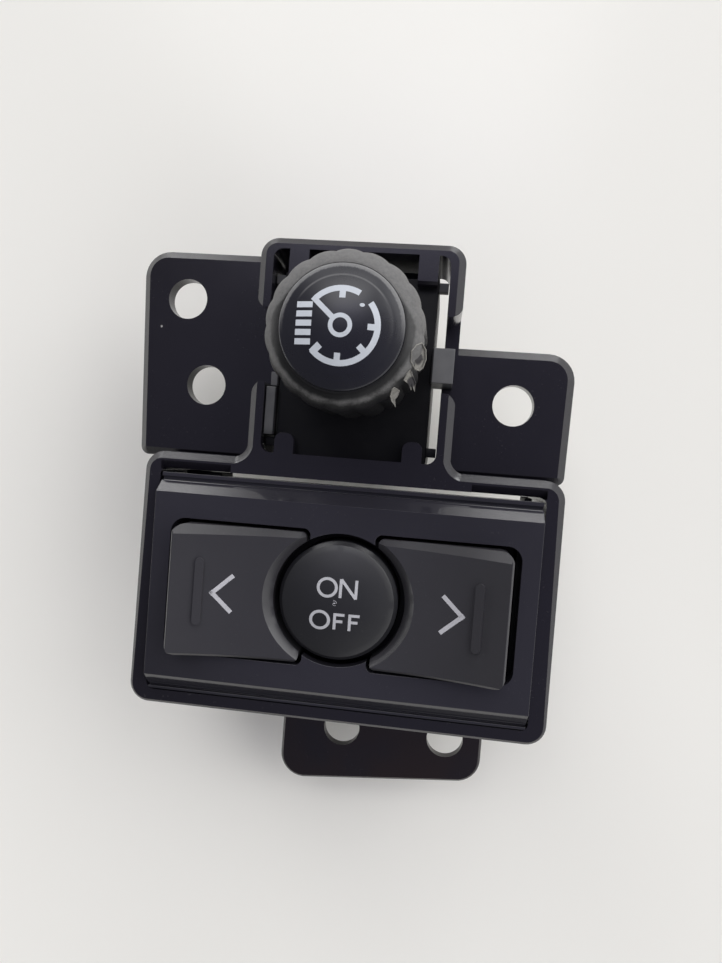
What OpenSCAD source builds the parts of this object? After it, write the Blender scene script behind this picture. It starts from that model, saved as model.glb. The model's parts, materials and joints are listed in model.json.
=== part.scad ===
// Dashboard light dimmer and ON / OFF switch panel in one moulded holder.
// The panel lies on its back: +Z comes out of the face, +Y points to the knob end.
// The origin is the centre of the lower connector's mouth, straight behind the round button.

/* [Lower module] */
// Width of the face plate over its lip
plate_w = 54.9; // [50:0.1:60]
// Height of the face plate over its lip
plate_h = 32; // [30:0.1:36]
// Height of the raised flat of the face plate above the holder's rim
plate_rise = 2; // [1:0.1:3]
// Width of the long bevels on the face plate
plate_bevel = 1.6; // [1:0.1:2.4]
// Height of the key opening in the face plate
opening_h = 19.4; // [18:0.1:22]
// Width of the plate beside the key opening
opening_side = 2.6; // [2.2:0.1:4]
// Gap between a key and the edge of its opening
key_gap = 0.55; // [0.3:0.05:1]
// Radius of the round button
button_r = 8.4; // [7:0.1:9]
// Gap between the button and the keys
ring_gap = 0.95; // [0.5:0.05:1.2]
// Height of the keys above the rim beside the button
key_low = 2.6; // [2:0.1:4]
// Height of the keys above the rim at their outer ends
key_high = 5.6; // [4:0.1:7]
// Travel of the round button
button_travel = 1; // [0.5:0.1:1.5]
// Tilt of a pressed key in degrees
key_tilt = 3; // [1:0.5:4]

/* [Holder] */
// Height of the holder's front rim above the plane it lies on
front_z = 36; // [32:0.5:44]
// Depth of the sleeve round the lower module
sleeve_depth = 24; // [18:0.5:28]
// Side wall of the lower sleeve
side_wall = 2.6; // [1.8:0.05:3]
// Top wall of the lower sleeve
top_wall = 2.4; // [1.8:0.05:3]
// Bottom wall of the lower sleeve
bottom_wall = 2; // [1.2:0.05:3]
// Outer corner radius of the lower sleeve
frame_r = 2.8; // [2:0.1:4]
// Radius of the rounded front edges, cut as a chamfer
edge_c = 1; // [0.4:0.1:1.2]
// The same on the lower corners of the lower sleeve, where it is narrower
edge_low = 0.45; // [0.3:0.05:1]
// Depth of the upper sleeve round the dimmer
arch_depth = 13; // [10:0.5:20]
// Side walls of the arch
arch_wall = 2.1; // [1.6:0.05:3]
// Top wall of the arch
arch_top_wall = 1.7; // [1.4:0.05:3]
// Depth of the ears' front face behind the front rim
ear_back = 9; // [6:0.5:12]
// Thickness of the ears
ear_t = 2.5; // [2:0.1:4]
// Reach of the left ear from the button's axis
left_ear_x = 36.3; // [33:0.1:40]
// Reach of the right ear from the button's axis
right_ear_x = 31.8; // [31:0.1:40]
// Top of the left ear above the button's axis
left_ear_y = 50.5; // [44:0.1:55]
// Top of the right ear above the button's axis
right_ear_y = 38; // [34:0.1:48]
// Radius of the screw holes
hole_r = 3.1; // [2:0.05:3.5]
// Depth of the tab's front face behind the front rim
tab_back = 22; // [16:0.5:23]
// Thickness of the tab
tab_t = 1.7; // [1.5:0.1:4]
// Length of the tab below the holder at its long corner
tab_long = 18.5; // [15:0.1:22]

/* [Dimmer] */
// Width of the dimmer housing
mod_w = 22.2; // [20:0.1:25]
// Height of the dimmer housing
mod_h = 28.9; // [26:0.1:32]
// Sideways offset of the dimmer housing from the button's axis
mod_x = -0.6; // [-1:0.1:1]
// Distance of the knob's axis above the middle of the dimmer housing
knob_up = 1.35; // [0.5:0.05:2]
// Radius of the knob over its lobes
knob_r = 9.75; // [8.6:0.05:10.4]
// Number of lobes round the knob
knob_lobes = 18; // [12:1:24]
// Depth of the hollows between the lobes
lobe_depth = 0.4; // [0.1:0.05:0.6]
// Height of the lens above the holder's rim
knob_rise = 19.8; // [16:0.1:22]
// Height of the knob with its lens
knob_h = 16.3; // [13:0.1:16.6]
// Radius of the fixed lens in the knob
lens_r = 7.45; // [6:0.05:7.8]
// Outer radius of the drive sleeve
sleeve_r = 5; // [4.4:0.05:5.4]
// Radius of the fixed light post
post_r = 3; // [2:0.1:3.2]

/* [Housings] */
// Wall of both housings
shell_t = 1.5; // [1.2:0.1:2]
// Depth of both connector shrouds
shroud_d = 9; // [8.5:0.1:10]
// Wall of both connector shrouds
shroud_wall = 1.2; // [1:0.1:2]
// Thickness of both rear covers
cover_t = 2; // [1.5:0.1:3]
// Width of a square connector pin
pin_w = 0.8; // [0.6:0.05:1]

/* [Hidden] */
$fn = 64;

// Small distance by which joined shapes run into each other
bite = 0.2;
// Distance by which a cutter passes the face it opens
past = 1;
// Clearance between pieces that fit together without moving
fit = 0.1;
// Radial clearance of a turning or sliding fit
run = 0.05;

// Lower sleeve, built outwards from the face plate
side_gap = 0.3;
light_gap = 0.6;
bottom_gap = 0.15;
plate_x = plate_w / 2;
plate_y = plate_h / 2;
opening_w = plate_w - 2 * opening_side;
inner_x = plate_x + side_gap;
inner_top = plate_y + light_gap;
inner_bottom = -plate_y - bottom_gap;
frame_x = inner_x + side_wall;
frame_top = inner_top + top_wall;
frame_bottom = inner_bottom - bottom_wall;
sleeve_z = front_z - sleeve_depth;

// Upper sleeve, built outwards from the dimmer housing
slot_w = 1.5;
arch_gap = 0.8;
mod_bottom = frame_top + 0.4;
mod_top = mod_bottom + mod_h;
knob_y = (mod_bottom + mod_top) / 2 + knob_up;
mod_left = mod_x - mod_w / 2;
mod_right = mod_x + mod_w / 2;
arch_in_left = mod_left - slot_w;
arch_in_right = mod_right + slot_w;
arch_in_top = mod_top + arch_gap;
arch_left = arch_in_left - arch_wall;
arch_right = arch_in_right + arch_wall;
arch_top = arch_in_top + arch_top_wall;
arch_r = 2.6;
arch_z = front_z - arch_depth;
web_lip = 1;
fillet_r = 2.3;
slope_in = 17.3;
slope_c = 1.1;
hook_t = 2;
mod_face = front_z - hook_t;
ear_z = front_z - ear_back;
ear_edge = 1.2;
ear_foot = frame_top - 0.8;
hook_x = 9.2;
hook_w = 2.8;
hook_off = 0.3;
gap_low = knob_y - 5.15;
gap_high = knob_y + 5.5;
arm_r = 1.95;

// Screw holes in the ears and in the tab
ear_hole_y = 29.75;
ear_hole_left = 24.8;
ear_hole_right = 22.9;
locating_hole = [-28.7, 43];
tab_z = front_z - tab_back;
tab_left = -11;
tab_right = 23.6;
tab_r = 4.1;
tab_slant = 2.5;
tab_hole_y = frame_bottom - 8.85;
tab_hole_left = -0.6;
tab_hole_right = 17.3;

// Rear stack shared by both modules
shell_z = shroud_d + cover_t;
ledge_t = 2.5;
flange_t = 2.4;
flange_z = front_z - flange_t;
pin_start = 4.6;
pin_pitch = 2.5;
lamp_w = 2.4;
lamp_t = 0.5;

// Lower housing, set back at the top so that light passes over it
case_x = plate_x - 1.45;
case_top = plate_y - 1.7;
case_bottom = -plate_y + 0.8;
board_t = 1.6;
board_z = 24.6;
mat_t = 0.8;
mat_z = board_z + board_t;
dome_h = 1.8;
dome_z = mat_z + mat_t + dome_h;
deck_z = dome_z + 0.4;
deck_t = 1.2;
plunger_gap = 0.1;

// Keys and button
ring_r = button_r + ring_gap;
key_in = 5.1;
horn_x = 4.6;
key_end_gap = 1.35;
key_out = opening_w / 2 - key_end_gap;
key_y = opening_h / 2 - key_gap + 0.05;
key_base = flange_z + 0.8;
key_skin = 1.5;
key_wall = 1.3;
key_corner = 1.6;
key_tip = 0.9;
dish_from = 4;
dish_run = key_out - dish_from - 1.1;
dish_rise = key_high - key_low;
dish_r = (dish_run * dish_run + dish_rise * dish_rise) / (2 * dish_rise);
bar_in = 4.1;
bar_x = key_out - bar_in;
bar_w = 1.2;
bar_l = 9.4;
bar_rise = 0.5;
pivot = [7.5, front_z - 4];
trunnion_r = 1;
ear_in = key_y - 1.2;
post_in = key_y + 0.35;
post_out = post_in + 2;
trunnion_out = post_out - 0.2;
post_top = flange_z - 0.3;
plunger_in = 4.9;
plunger_x = key_out - plunger_in;
lamp_in = 5.2;
lamp_x = plunger_x - lamp_in;
lamp_y = 5.4;
guide_r = button_r + 0.1;
guide_t = 1;
guide_top = flange_z + 0.2;
button_skirt_z = deck_z + deck_t + button_travel + 0.4;
button_edge = key_low - 0.3;
button_crown = 1.1;

// Dimmer, from the board up to the lens
knob_top = front_z + knob_rise;
knob_z = knob_top - knob_h;
d_board_z = 20.5;
d_board_top = d_board_z + board_t;
foot_t = 0.9;
wafer_t = 0.8;
wafer_z = d_board_top + foot_t;
rotor_z = wafer_z + wafer_t + 0.2;
rotor_t = 1.2;
// room that the rotor leaves at the housing's sides and at its ends
rotor_side = 3.1;
rotor_end = 6.45;
rotor_r = min(mod_w / 2 - rotor_side, mod_h / 2 - rotor_end);
wafer_edge = 0.6;
leaf_t = 0.3;
leaf_in = 1;
leaf_off = 0.75;
notches = 24;
notch_r = 0.5;
bearing_z = rotor_z + rotor_t + 0.3;
bearing_top = front_z;
bearing_wall = 1.6;
sleeve_bore = post_r + 0.4;
sleeve_top = knob_top - 5.2;
core_r = knob_r - 0.75;
core_z = bearing_top + 0.3;
core_top = knob_top - 3.6;
grip_round = 2.94;
lens_crown = 1.3;
lens_z = knob_top - lens_crown;
lens_edge = 1.6;
lens_seat = lens_z - lens_edge;
lens_gap = 0.15;

// Plain shapes that several pieces share

// Box between two corners
module block(low, high) {
    translate(low) cube(high - low);
}

// Slab between two corners with rounded corners of true arcs
module round_slab(low, high, r) {
    translate([0, 0, low[2]]) linear_extrude(high[2] - low[2]) round_rect(low, high, r);
}

// Rounded rectangle between two corners
module round_rect(low, high, r) {
    translate([low[0] + r, low[1]]) square([high[0] - low[0] - 2 * r, high[1] - low[1]]);
    translate([low[0], low[1] + r]) square([high[0] - low[0], high[1] - low[1] - 2 * r]);
    for (x = [low[0] + r, high[0] - r], y = [low[1] + r, high[1] - r]) translate([x, y]) circle(r);
}

// Upright post with a chamfered head, one corner of a rounded moulding
module corner_post(x, y, r, z0, z1, c) {
    translate([x, y, z0]) cylinder(r = r, h = z1 - z0 - c, $fn = 32);
    translate([x, y, z1 - c]) cylinder(r1 = r, r2 = r - c, h = c, $fn = 32);
}

// Moulded slab with rounded corners and a softened front edge; each corner is [x, y, r, c]
module soft_slab(corners, z0, z1) {
    hull() for (p = corners) corner_post(p[0], p[1], p[2], z0, z1, p[3]);
}

// Outline that rounds an outer corner at p; s points out of the material
module corner_outline(p, s, r) {
    inset = 0.97 * r;
    translate(p) difference() {
        polygon([[-s[0] * r, s[1] * past], [s[0] * past, s[1] * past], [s[0] * past, -s[1] * r],
                 [-s[0] * inset, -s[1] * inset]]);
        translate([-s[0] * inset, -s[1] * inset]) circle(r);
    }
}

// Cutter that rounds an upright outer corner
module corner_cutter(p, s, r, z0, z1) {
    translate([0, 0, z0]) linear_extrude(z1 - z0) corner_outline(p, s, r);
}

// Outline extruded along X: points are [y, z]
module along_x(x0, x1, points) {
    translate([x0, 0, 0]) rotate([90, 0, 90]) linear_extrude(x1 - x0) polygon(points);
}

// Outline extruded along Y: points are [x, z]
module along_y(y0, y1, points) {
    translate([0, y1, 0]) rotate([90, 0, 0]) linear_extrude(y1 - y0) polygon(points);
}

// Row of square pins with a tapered tip, from z0 up to z1
module pin_row(x, y, pitch, count, z0, z1) {
    tip = 0.6;
    for (i = [0 : count - 1]) translate([x + (i - (count - 1) / 2) * pitch, y, 0]) {
        block([-pin_w / 2, -pin_w / 2, z0 + tip], [pin_w / 2, pin_w / 2, z1]);
        along_y(-pin_w / 2, pin_w / 2, [[-pin_w / 2, z0 + tip], [pin_w / 2, z0 + tip], [pin_w / 5, z0], [-pin_w / 5, z0]]);
    }
}

// Openings for such a row of pins in a cover
module pin_slots(x, y, pitch, count, z0, z1) {
    half = pin_w / 2 + run;
    for (i = [0 : count - 1]) translate([x + (i - (count - 1) / 2) * pitch, y, 0])
        block([-half, -half, z0], [half, half, z1]);
}

// Holder

// Outer walls before anything is cut: lower sleeve, upper sleeve, ears and tab
module holder_walls() {
    r = frame_r;
    soft_slab([[-frame_x + r, frame_bottom + r, r, edge_low], [frame_x - r, frame_bottom + r, r, edge_low],
               [-frame_x + r, frame_top - r, r, edge_c], [frame_x - r, frame_top - r, r, edge_c]], sleeve_z, front_z);
    soft_slab([[arch_left + arch_r, frame_top - 9, arch_r, edge_c], [arch_right - arch_r, frame_top - 9, arch_r, edge_c],
               [arch_left + arch_r, arch_top - arch_r, arch_r, edge_c],
               [arch_right - arch_r, arch_top - arch_r, arch_r, edge_c]], arch_z, front_z);
    ear_r = 4.1;
    foot_r = 1.3;
    soft_slab([[-left_ear_x + ear_r, left_ear_y - ear_r, ear_r, ear_edge],
               [-left_ear_x + 1.1 + foot_r, ear_foot + foot_r, foot_r, ear_edge],
               [arch_left + foot_r, left_ear_y - foot_r, foot_r, ear_edge],
               [arch_left + foot_r, ear_foot + foot_r, foot_r, ear_edge]], ear_z - ear_t, ear_z);
    soft_slab([[right_ear_x - ear_r, right_ear_y - ear_r, ear_r, ear_edge],
               [right_ear_x - 0.3 - foot_r, ear_foot + foot_r, foot_r, ear_edge],
               [arch_right - foot_r, right_ear_y - foot_r, foot_r, ear_edge],
               [arch_right - foot_r, ear_foot + foot_r, foot_r, ear_edge]], ear_z - ear_t, ear_z);
    tab_low = frame_bottom - tab_long;
    c = 0.4;
    soft_slab([[tab_left + tab_r, tab_low + tab_r, tab_r, c], [tab_right - tab_r, tab_low + tab_slant + tab_r, tab_r, c],
               [tab_left + 1, inner_bottom - 0.65, 1, c], [tab_right - 1, inner_bottom - 0.65, 1, c]], tab_z - tab_t, tab_z);
}

// Webs that carry the tab, and the small webs where the arms meet the lower frame
module holder_webs() {
    web_t = 1.6;
    for (x = [tab_left + 4, tab_right - 6])
        along_x(x, x + web_t, [[frame_bottom + 0.5, tab_z - bite], [frame_bottom + 0.5, tab_z + 8],
                               [frame_bottom, tab_z + 8], [frame_bottom - 5, tab_z], [frame_bottom - 5, tab_z - bite]]);
    arm_fillet([arch_left, frame_top], -1);
    arm_fillet([arch_right, frame_top], 1);
}

// Rounded inner corner between an arm and the lower frame, with the same softened edge
module arm_fillet(p, s) {
    inset = 0.97 * fillet_r;
    deep = edge_c + bite;
    difference() {
        block([min(p[0] - s * deep, p[0] + s * inset), p[1] - deep, ear_z - bite],
              [max(p[0] - s * deep, p[0] + s * inset), p[1] + inset, front_z]);
        translate([p[0] + s * inset, p[1] + inset, ear_z - bite - past]) {
            cylinder(r = fillet_r, h = front_z - ear_z + bite + 2 * past);
            translate([0, 0, front_z - edge_c - ear_z + bite + past])
                cylinder(r1 = fillet_r, r2 = fillet_r + edge_c + 0.3, h = edge_c + 0.3);
        }
    }
}

// Everything that is cut out of the walls
module holder_openings() {
    round_slab([-inner_x, inner_bottom, sleeve_z - past], [inner_x, inner_top, front_z + past], 1);
    round_slab([arch_in_left, frame_top, arch_z - past], [arch_in_right, arch_in_top, mod_face], 1.4);
    round_slab([arch_in_left, frame_top + web_lip, mod_face - bite], [arch_in_right, arch_in_top, front_z + past], 1.4);
    for (side = [[arch_left, arch_in_left, -1], [arch_right, arch_in_right, 1]]) {
        outer = side[0] + side[2] * past;
        inner = side[1] - side[2] * bite;
        block([min(outer, inner), gap_low, ear_z], [max(outer, inner), gap_high, front_z + past]);
        corner_cutter([side[0], gap_low], [side[2], 1], arm_r, ear_z, front_z + past);
        corner_cutter([side[0], gap_high], [side[2], -1], arm_r, ear_z, front_z + past);
    }
    for (x = [-inner_x, slope_in])
        along_x(x, x + inner_x - slope_in, [[inner_top - bite, front_z - slope_c - bite], [inner_top + slope_c + past, front_z + past],
                                          [inner_top - bite, front_z + past]]);
    for (p = [[-ear_hole_left, ear_hole_y], [ear_hole_right, ear_hole_y], locating_hole])
        translate([p[0], p[1], ear_z - ear_t - past]) cylinder(r = hole_r, h = ear_t + 2 * past);
    for (x = [tab_hole_left, tab_hole_right])
        translate([x, tab_hole_y, tab_z - tab_t - past]) cylinder(r = hole_r, h = tab_t + 2 * past);
}

// Hooks over the dimmer's face, and ledges under both modules
module holder_seats() {
    for (x = [mod_x - hook_x, mod_x + hook_x]) {
        along_x(x + hook_off - hook_w / 2, x + hook_off + hook_w / 2,
                [[arch_in_top + bite, mod_face], [arch_in_top + bite, front_z], [arch_in_top - 3.6, front_z],
                 [arch_in_top - 4, front_z - 0.4], [arch_in_top - 4, mod_face]]);
        low = frame_top + web_lip;
        round_slab([x - hook_w / 2, low - bite - 1, mod_face], [x + hook_w / 2, low + 2.95, front_z], 1.1);
    }
    for (side = [-1, 1]) {
        ledge_in = case_x + 0.35;
        x0 = side * ledge_in;
        x1 = side * (inner_x + bite);
        block([min(x0, x1), -12, flange_z - ledge_t], [max(x0, x1), 12, flange_z]);
    }
    block([arch_in_left - bite, 23, arch_z], [mod_left - 0.3, 29, ear_z]);
    // stop ledge behind the upper left corner of the slot
    block([arch_in_left - bite, gap_high + 1, arch_z], [mod_left - 0.3, arch_in_top + bite, arch_z + 3]);
    block([mod_left - 0.5, mod_top + 0.3, arch_z], [mod_x, arch_in_top + bite, arch_z + 3]);
}

module mounting_holder() {
    color([0.16, 0.16, 0.18]) {
        difference() {
            union() {
                holder_walls();
                holder_webs();
            }
            holder_openings();
        }
        holder_seats();
    }
}

// Dimmer module

// Latch block, side rib and nubs that reach from the housing to the arch
module dimmer_latches() {
    block([mod_right - bite, knob_y - 3.7, ear_z], [arch_right - 0.6, knob_y + 1.2, front_z - 0.4]);
    block([arch_in_left + fit, 22.6, ear_z], [mod_left + bite, 29.5, front_z - 0.8]);
    block([arch_in_left + 0.5, 29.7, ear_z + 1], [mod_left + bite, 31.7, front_z - 1.6]);
    for (y = [mod_bottom + 1.6, mod_top - 3.7]) {
        block([mod_right - bite, y, mod_face - 2], [arch_in_right - fit, y + 1.3, mod_face - 0.4]);
        block([arch_in_left + fit, y, mod_face - 2], [mod_left + bite, y + 1.3, mod_face - 0.4]);
    }
}

module dimmer_housing() {
    front_t = 2;
    shoulder = 2.1;
    color([0.10, 0.10, 0.11]) difference() {
        union() {
            difference() {
                union() {
                    round_slab([mod_left, mod_bottom, shell_z], [mod_right, mod_top, mod_face], 1);
                    dimmer_latches();
                }
                block([mod_left - past, mod_top - shoulder, mod_face - 5], [mod_right + past, mod_top + past, mod_face + past]);
                round_slab([mod_left + shell_t, mod_bottom + shell_t, shell_z - past],
                           [mod_right - shell_t, mod_top - shell_t - shoulder, mod_face - front_t], 0.8);
            }
            translate([0, knob_y, mod_face - front_t]) cylinder(r = 8.2, h = front_t + 1);
            translate([0, knob_y, bearing_z]) cylinder(r = sleeve_r + bearing_wall, h = bearing_top - bearing_z);
        }
        translate([0, knob_y, bearing_z - past]) cylinder(r = sleeve_r + run, h = bearing_top - bearing_z + 2 * past);
    }
}

module dimmer_cover() {
    half_w = 8;
    half_h = 5.5;
    sock_x = mod_x;
    sock_y = (mod_bottom + mod_top) / 2 - 1;
    rear_shroud([mod_left, mod_bottom], [mod_right, mod_top], [sock_x, sock_y], half_w, half_h, 5, pin_pitch,
                [mod_left + shell_t + fit, mod_bottom + shell_t + fit],
                [mod_right - shell_t - fit, mod_top - shell_t - 2.1 - fit]);
}

// Rear cover with a spigot that enters the housing and a shroud round the pins
module rear_shroud(low, high, centre, half_w, half_h, pins, pitch, spigot_low, spigot_high) {
    spigot = 1.5;
    inner_w = half_w - shroud_wall;
    inner_h = half_h - shroud_wall;
    color([0.13, 0.13, 0.14]) difference() {
        union() {
            round_slab([low[0], low[1], shroud_d], [high[0], high[1], shroud_d + cover_t], 1);
            difference() {
                round_slab([spigot_low[0], spigot_low[1], shroud_d + cover_t - bite],
                           [spigot_high[0], spigot_high[1], shroud_d + cover_t + spigot], 0.6);
                round_slab([spigot_low[0] + shell_t, spigot_low[1] + shell_t, shroud_d + cover_t - 1],
                           [spigot_high[0] - shell_t, spigot_high[1] - shell_t, shroud_d + cover_t + spigot + past], 0.4);
            }
            round_slab([centre[0] - half_w, centre[1] - half_h, 0],
                       [centre[0] + half_w, centre[1] + half_h, shroud_d + bite], 1);
            block([centre[0] - 2, centre[1] + half_h - bite, 2], [centre[0] + 2, centre[1] + half_h + 1.2, shroud_d + bite]);
        }
        round_slab([centre[0] - inner_w, centre[1] - inner_h, -past],
                   [centre[0] + inner_w, centre[1] + inner_h, shroud_d], 0.5);
        pin_slots(centre[0], centre[1], pitch, pins, shroud_d - past, shroud_d + cover_t + past);
    }
}

module dimmer_pins() {
    color([0.80, 0.66, 0.36])
        pin_row(mod_x, (mod_bottom + mod_top) / 2 - 1, pin_pitch, 5, pin_start, d_board_z);
}

module dimmer_board() {
    color([0.10, 0.32, 0.18])
        round_slab([mod_left + shell_t + fit, mod_bottom + shell_t + fit, d_board_z],
                   [mod_right - shell_t - fit, mod_top - shell_t - 2.1 - fit, d_board_top], 0.6);
}

module dimmer_lamp() {
    color([0.95, 0.93, 0.80]) translate([0, knob_y, 0]) {
        block([-0.65 * lamp_w, -lamp_w / 2, d_board_top], [0.65 * lamp_w, lamp_w / 2, d_board_top + lamp_t]);
        translate([0, 0, d_board_top + lamp_t]) cylinder(r1 = lamp_w / 2, r2 = 0.4 * lamp_w, h = 0.6);
    }
}

// Fixed light guide: foot on the board, column up the sleeve, seat under the lens
module light_post() {
    seat_r = lens_r - 0.9;
    foot_r = sleeve_r + 1;
    lamp_room = post_r - 0.6;
    color([0.85, 0.87, 0.88]) translate([0, knob_y, 0]) difference() {
        rotate_extrude() polygon([[0, d_board_top], [foot_r, d_board_top], [foot_r, d_board_top + foot_t],
                                  [post_r, d_board_top + foot_t], [post_r, lens_seat - 1.6],
                                  [seat_r, lens_seat - 0.5], [seat_r, lens_seat], [0, lens_seat]]);
        translate([0, 0, d_board_top - past]) cylinder(r = lamp_room, h = past + foot_t + 0.7);
    }
}

module contact_wafer() {
    color([0.55, 0.42, 0.22]) translate([0, knob_y, wafer_z]) difference() {
        cylinder(r = rotor_r + wafer_edge, h = wafer_t);
        translate([0, 0, -past]) cylinder(r = post_r + 0.3, h = wafer_t + 2 * past);
    }
}

// Leaf spring clamped under the housing's wall, with a bump that rests in a notch
module detent_spring() {
    half = rotor_r - leaf_in;
    y0 = knob_y - rotor_r - leaf_off;
    z0 = rotor_z + 0.1;
    z1 = rotor_z + rotor_t - 0.1;
    color([0.75, 0.75, 0.76]) {
        block([-half, y0 - leaf_t, z0], [half, y0, z1]);
        translate([0, y0 - leaf_t / 2, z0]) cylinder(r = 0.45, h = z1 - z0);
        for (x = [-half, half - leaf_t]) block([x, mod_bottom + shell_t, z0], [x + leaf_t, y0, z1]);
    }
}

// Knob, which turns as one body

module encoder_rotor() {
    color([0.90, 0.90, 0.88]) translate([0, knob_y, rotor_z]) difference() {
        cylinder(r = rotor_r, h = rotor_t);
        translate([0, 0, -past]) cylinder(r = sleeve_r - 0.8, h = rotor_t + 2 * past);
        for (i = [0 : notches - 1]) rotate(i * 360 / notches - 90)
            translate([rotor_r + 0.1, 0, -past]) cylinder(r = notch_r, h = rotor_t + 2 * past);
    }
}

module drive_sleeve() {
    neck = 0.8;
    color([0.30, 0.30, 0.32]) translate([0, knob_y, 0]) rotate_extrude()
        polygon([[sleeve_bore, rotor_z], [sleeve_r - neck, rotor_z], [sleeve_r - neck, rotor_z + rotor_t],
                 [sleeve_r, rotor_z + rotor_t], [sleeve_r, sleeve_top - 0.4], [sleeve_r - 0.4, sleeve_top],
                 [sleeve_bore, sleeve_top]]);
}

// Black knob body: hub on the sleeve, web, and an open cup that the lens sits in
module knob_core() {
    web_z = sleeve_top - 3;
    color([0.09, 0.09, 0.10]) translate([0, knob_y, 0]) rotate_extrude()
        polygon([[sleeve_r, core_z], [sleeve_r + 1.3, core_z], [sleeve_r + 1.3, web_z], [core_r - 1.1, web_z],
                 [core_r - 1.1, core_z + 1.2], [core_r - 0.4, core_z + 0.7], [core_r, knob_z - 0.5],
                 [core_r, core_top], [lens_r + lens_gap, core_top], [lens_r + lens_gap, web_z + 1.4],
                 [sleeve_r, web_z + 1.4]]);
}

// Outline of the grip: lobes with soft hollows between them
module grip_outline() {
    step = 360 / knob_lobes;
    hollow_r = 2.6;
    difference() {
        circle(knob_r);
        for (i = [0 : knob_lobes - 1]) rotate((i + 0.5) * step)
            translate([knob_r + hollow_r - lobe_depth, 0]) circle(hollow_r);
    }
}

// Grey sleeve over the core; its front rolls in over the core's edge and meets the lens
module knob_grip() {
    bore = core_r + 0.02;
    mouth = lens_r + lens_gap;
    flare = 0.1;
    round_z = lens_z - 0.1 - 0.97 * grip_round;
    color([0.45, 0.45, 0.46]) translate([0, knob_y, 0]) intersection() {
        translate([0, 0, knob_z]) linear_extrude(knob_h) grip_outline();
        rotate_extrude() difference() {
            translate([mouth, knob_z]) square([knob_r + flare - mouth, knob_h]);
            translate([mouth - past, knob_z - past]) square([bore - mouth + past, core_top - knob_z + past]);
            difference() {
                translate([mouth - past, round_z]) square([knob_r + flare - mouth + 2 * past, knob_h]);
                translate([knob_r + flare - grip_round, round_z - 0.03 * grip_round]) circle(grip_round, $fn = 96);
            }
        }
    }
}

// Fixed lens: a low dome that carries on the curve of the grip's front
module knob_cap() {
    dome = (lens_r * lens_r + lens_crown * lens_crown) / (2 * lens_crown);
    color([0.06, 0.06, 0.07]) translate([0, knob_y, 0]) intersection() {
        translate([0, 0, lens_seat]) cylinder(r = lens_r, h = lens_z + lens_crown + past - lens_seat);
        translate([0, 0, knob_top - dome]) sphere(r = dome, $fn = 128);
    }
}

// Lower module

// Opening for the keys and the button
module key_opening() {
    half_w = opening_w / 2;
    half_h = opening_h / 2;
    circle(ring_r + 0.05);
    for (side = [0, 1]) mirror([side, 0]) difference() {
        round_rect([horn_x - 5, -half_h], [half_w, half_h], 2.1);
        translate([horn_x - 6, -half_h - past]) square([6, 2 * half_h + 2 * past]);
        for (s = [-1, 1]) corner_outline([horn_x, s * half_h], [-1, s], 1.1);
    }
}

// Front of the lower module: raised flat, long bevels, groove and lip
module face_plate() {
    flat_y = plate_y - 1.1 - plate_bevel;
    foot_y = plate_y - 1.1;
    lip_y = plate_y - 0.6;
    low_foot = foot_y + 0.35;
    low_lip = lip_y + 0.2;
    flat_z = front_z + plate_rise;
    groove_z = front_z - 0.6;
    lip_z = front_z - 0.05;
    skirt_x = case_x - shell_t - fit;
    skirt_top = case_top - shell_t - fit;
    skirt_bottom = case_bottom + shell_t + fit;
    skirt_end = skirt_x - 3;
    color([0.17, 0.17, 0.185]) difference() {
        union() {
            along_x(-plate_x, plate_x,
                    [[-plate_y, flange_z], [plate_y, flange_z], [plate_y, lip_z], [lip_y, lip_z], [lip_y, groove_z],
                     [foot_y, groove_z], [foot_y, front_z], [flat_y, flat_z], [-flat_y, flat_z], [-low_foot, front_z],
                     [-low_foot, groove_z], [-low_lip, groove_z], [-low_lip, lip_z], [-plate_y, lip_z]]);
            block([-skirt_end, skirt_bottom, flange_z - 1.6], [skirt_end, skirt_bottom + 1, flange_z + bite]);
            block([-skirt_end, skirt_top - 1, flange_z - 1.6], [skirt_end, skirt_top, flange_z + bite]);
        }
        translate([0, 0, flange_z - past]) linear_extrude(plate_rise + flange_t + 2 * past) key_opening();
        round_slab([-skirt_x + 1, skirt_bottom + 1, flange_z - past], [skirt_x - 1, skirt_top - 1, front_z + plate_rise - 1.8], 0.5);
    }
}

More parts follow.
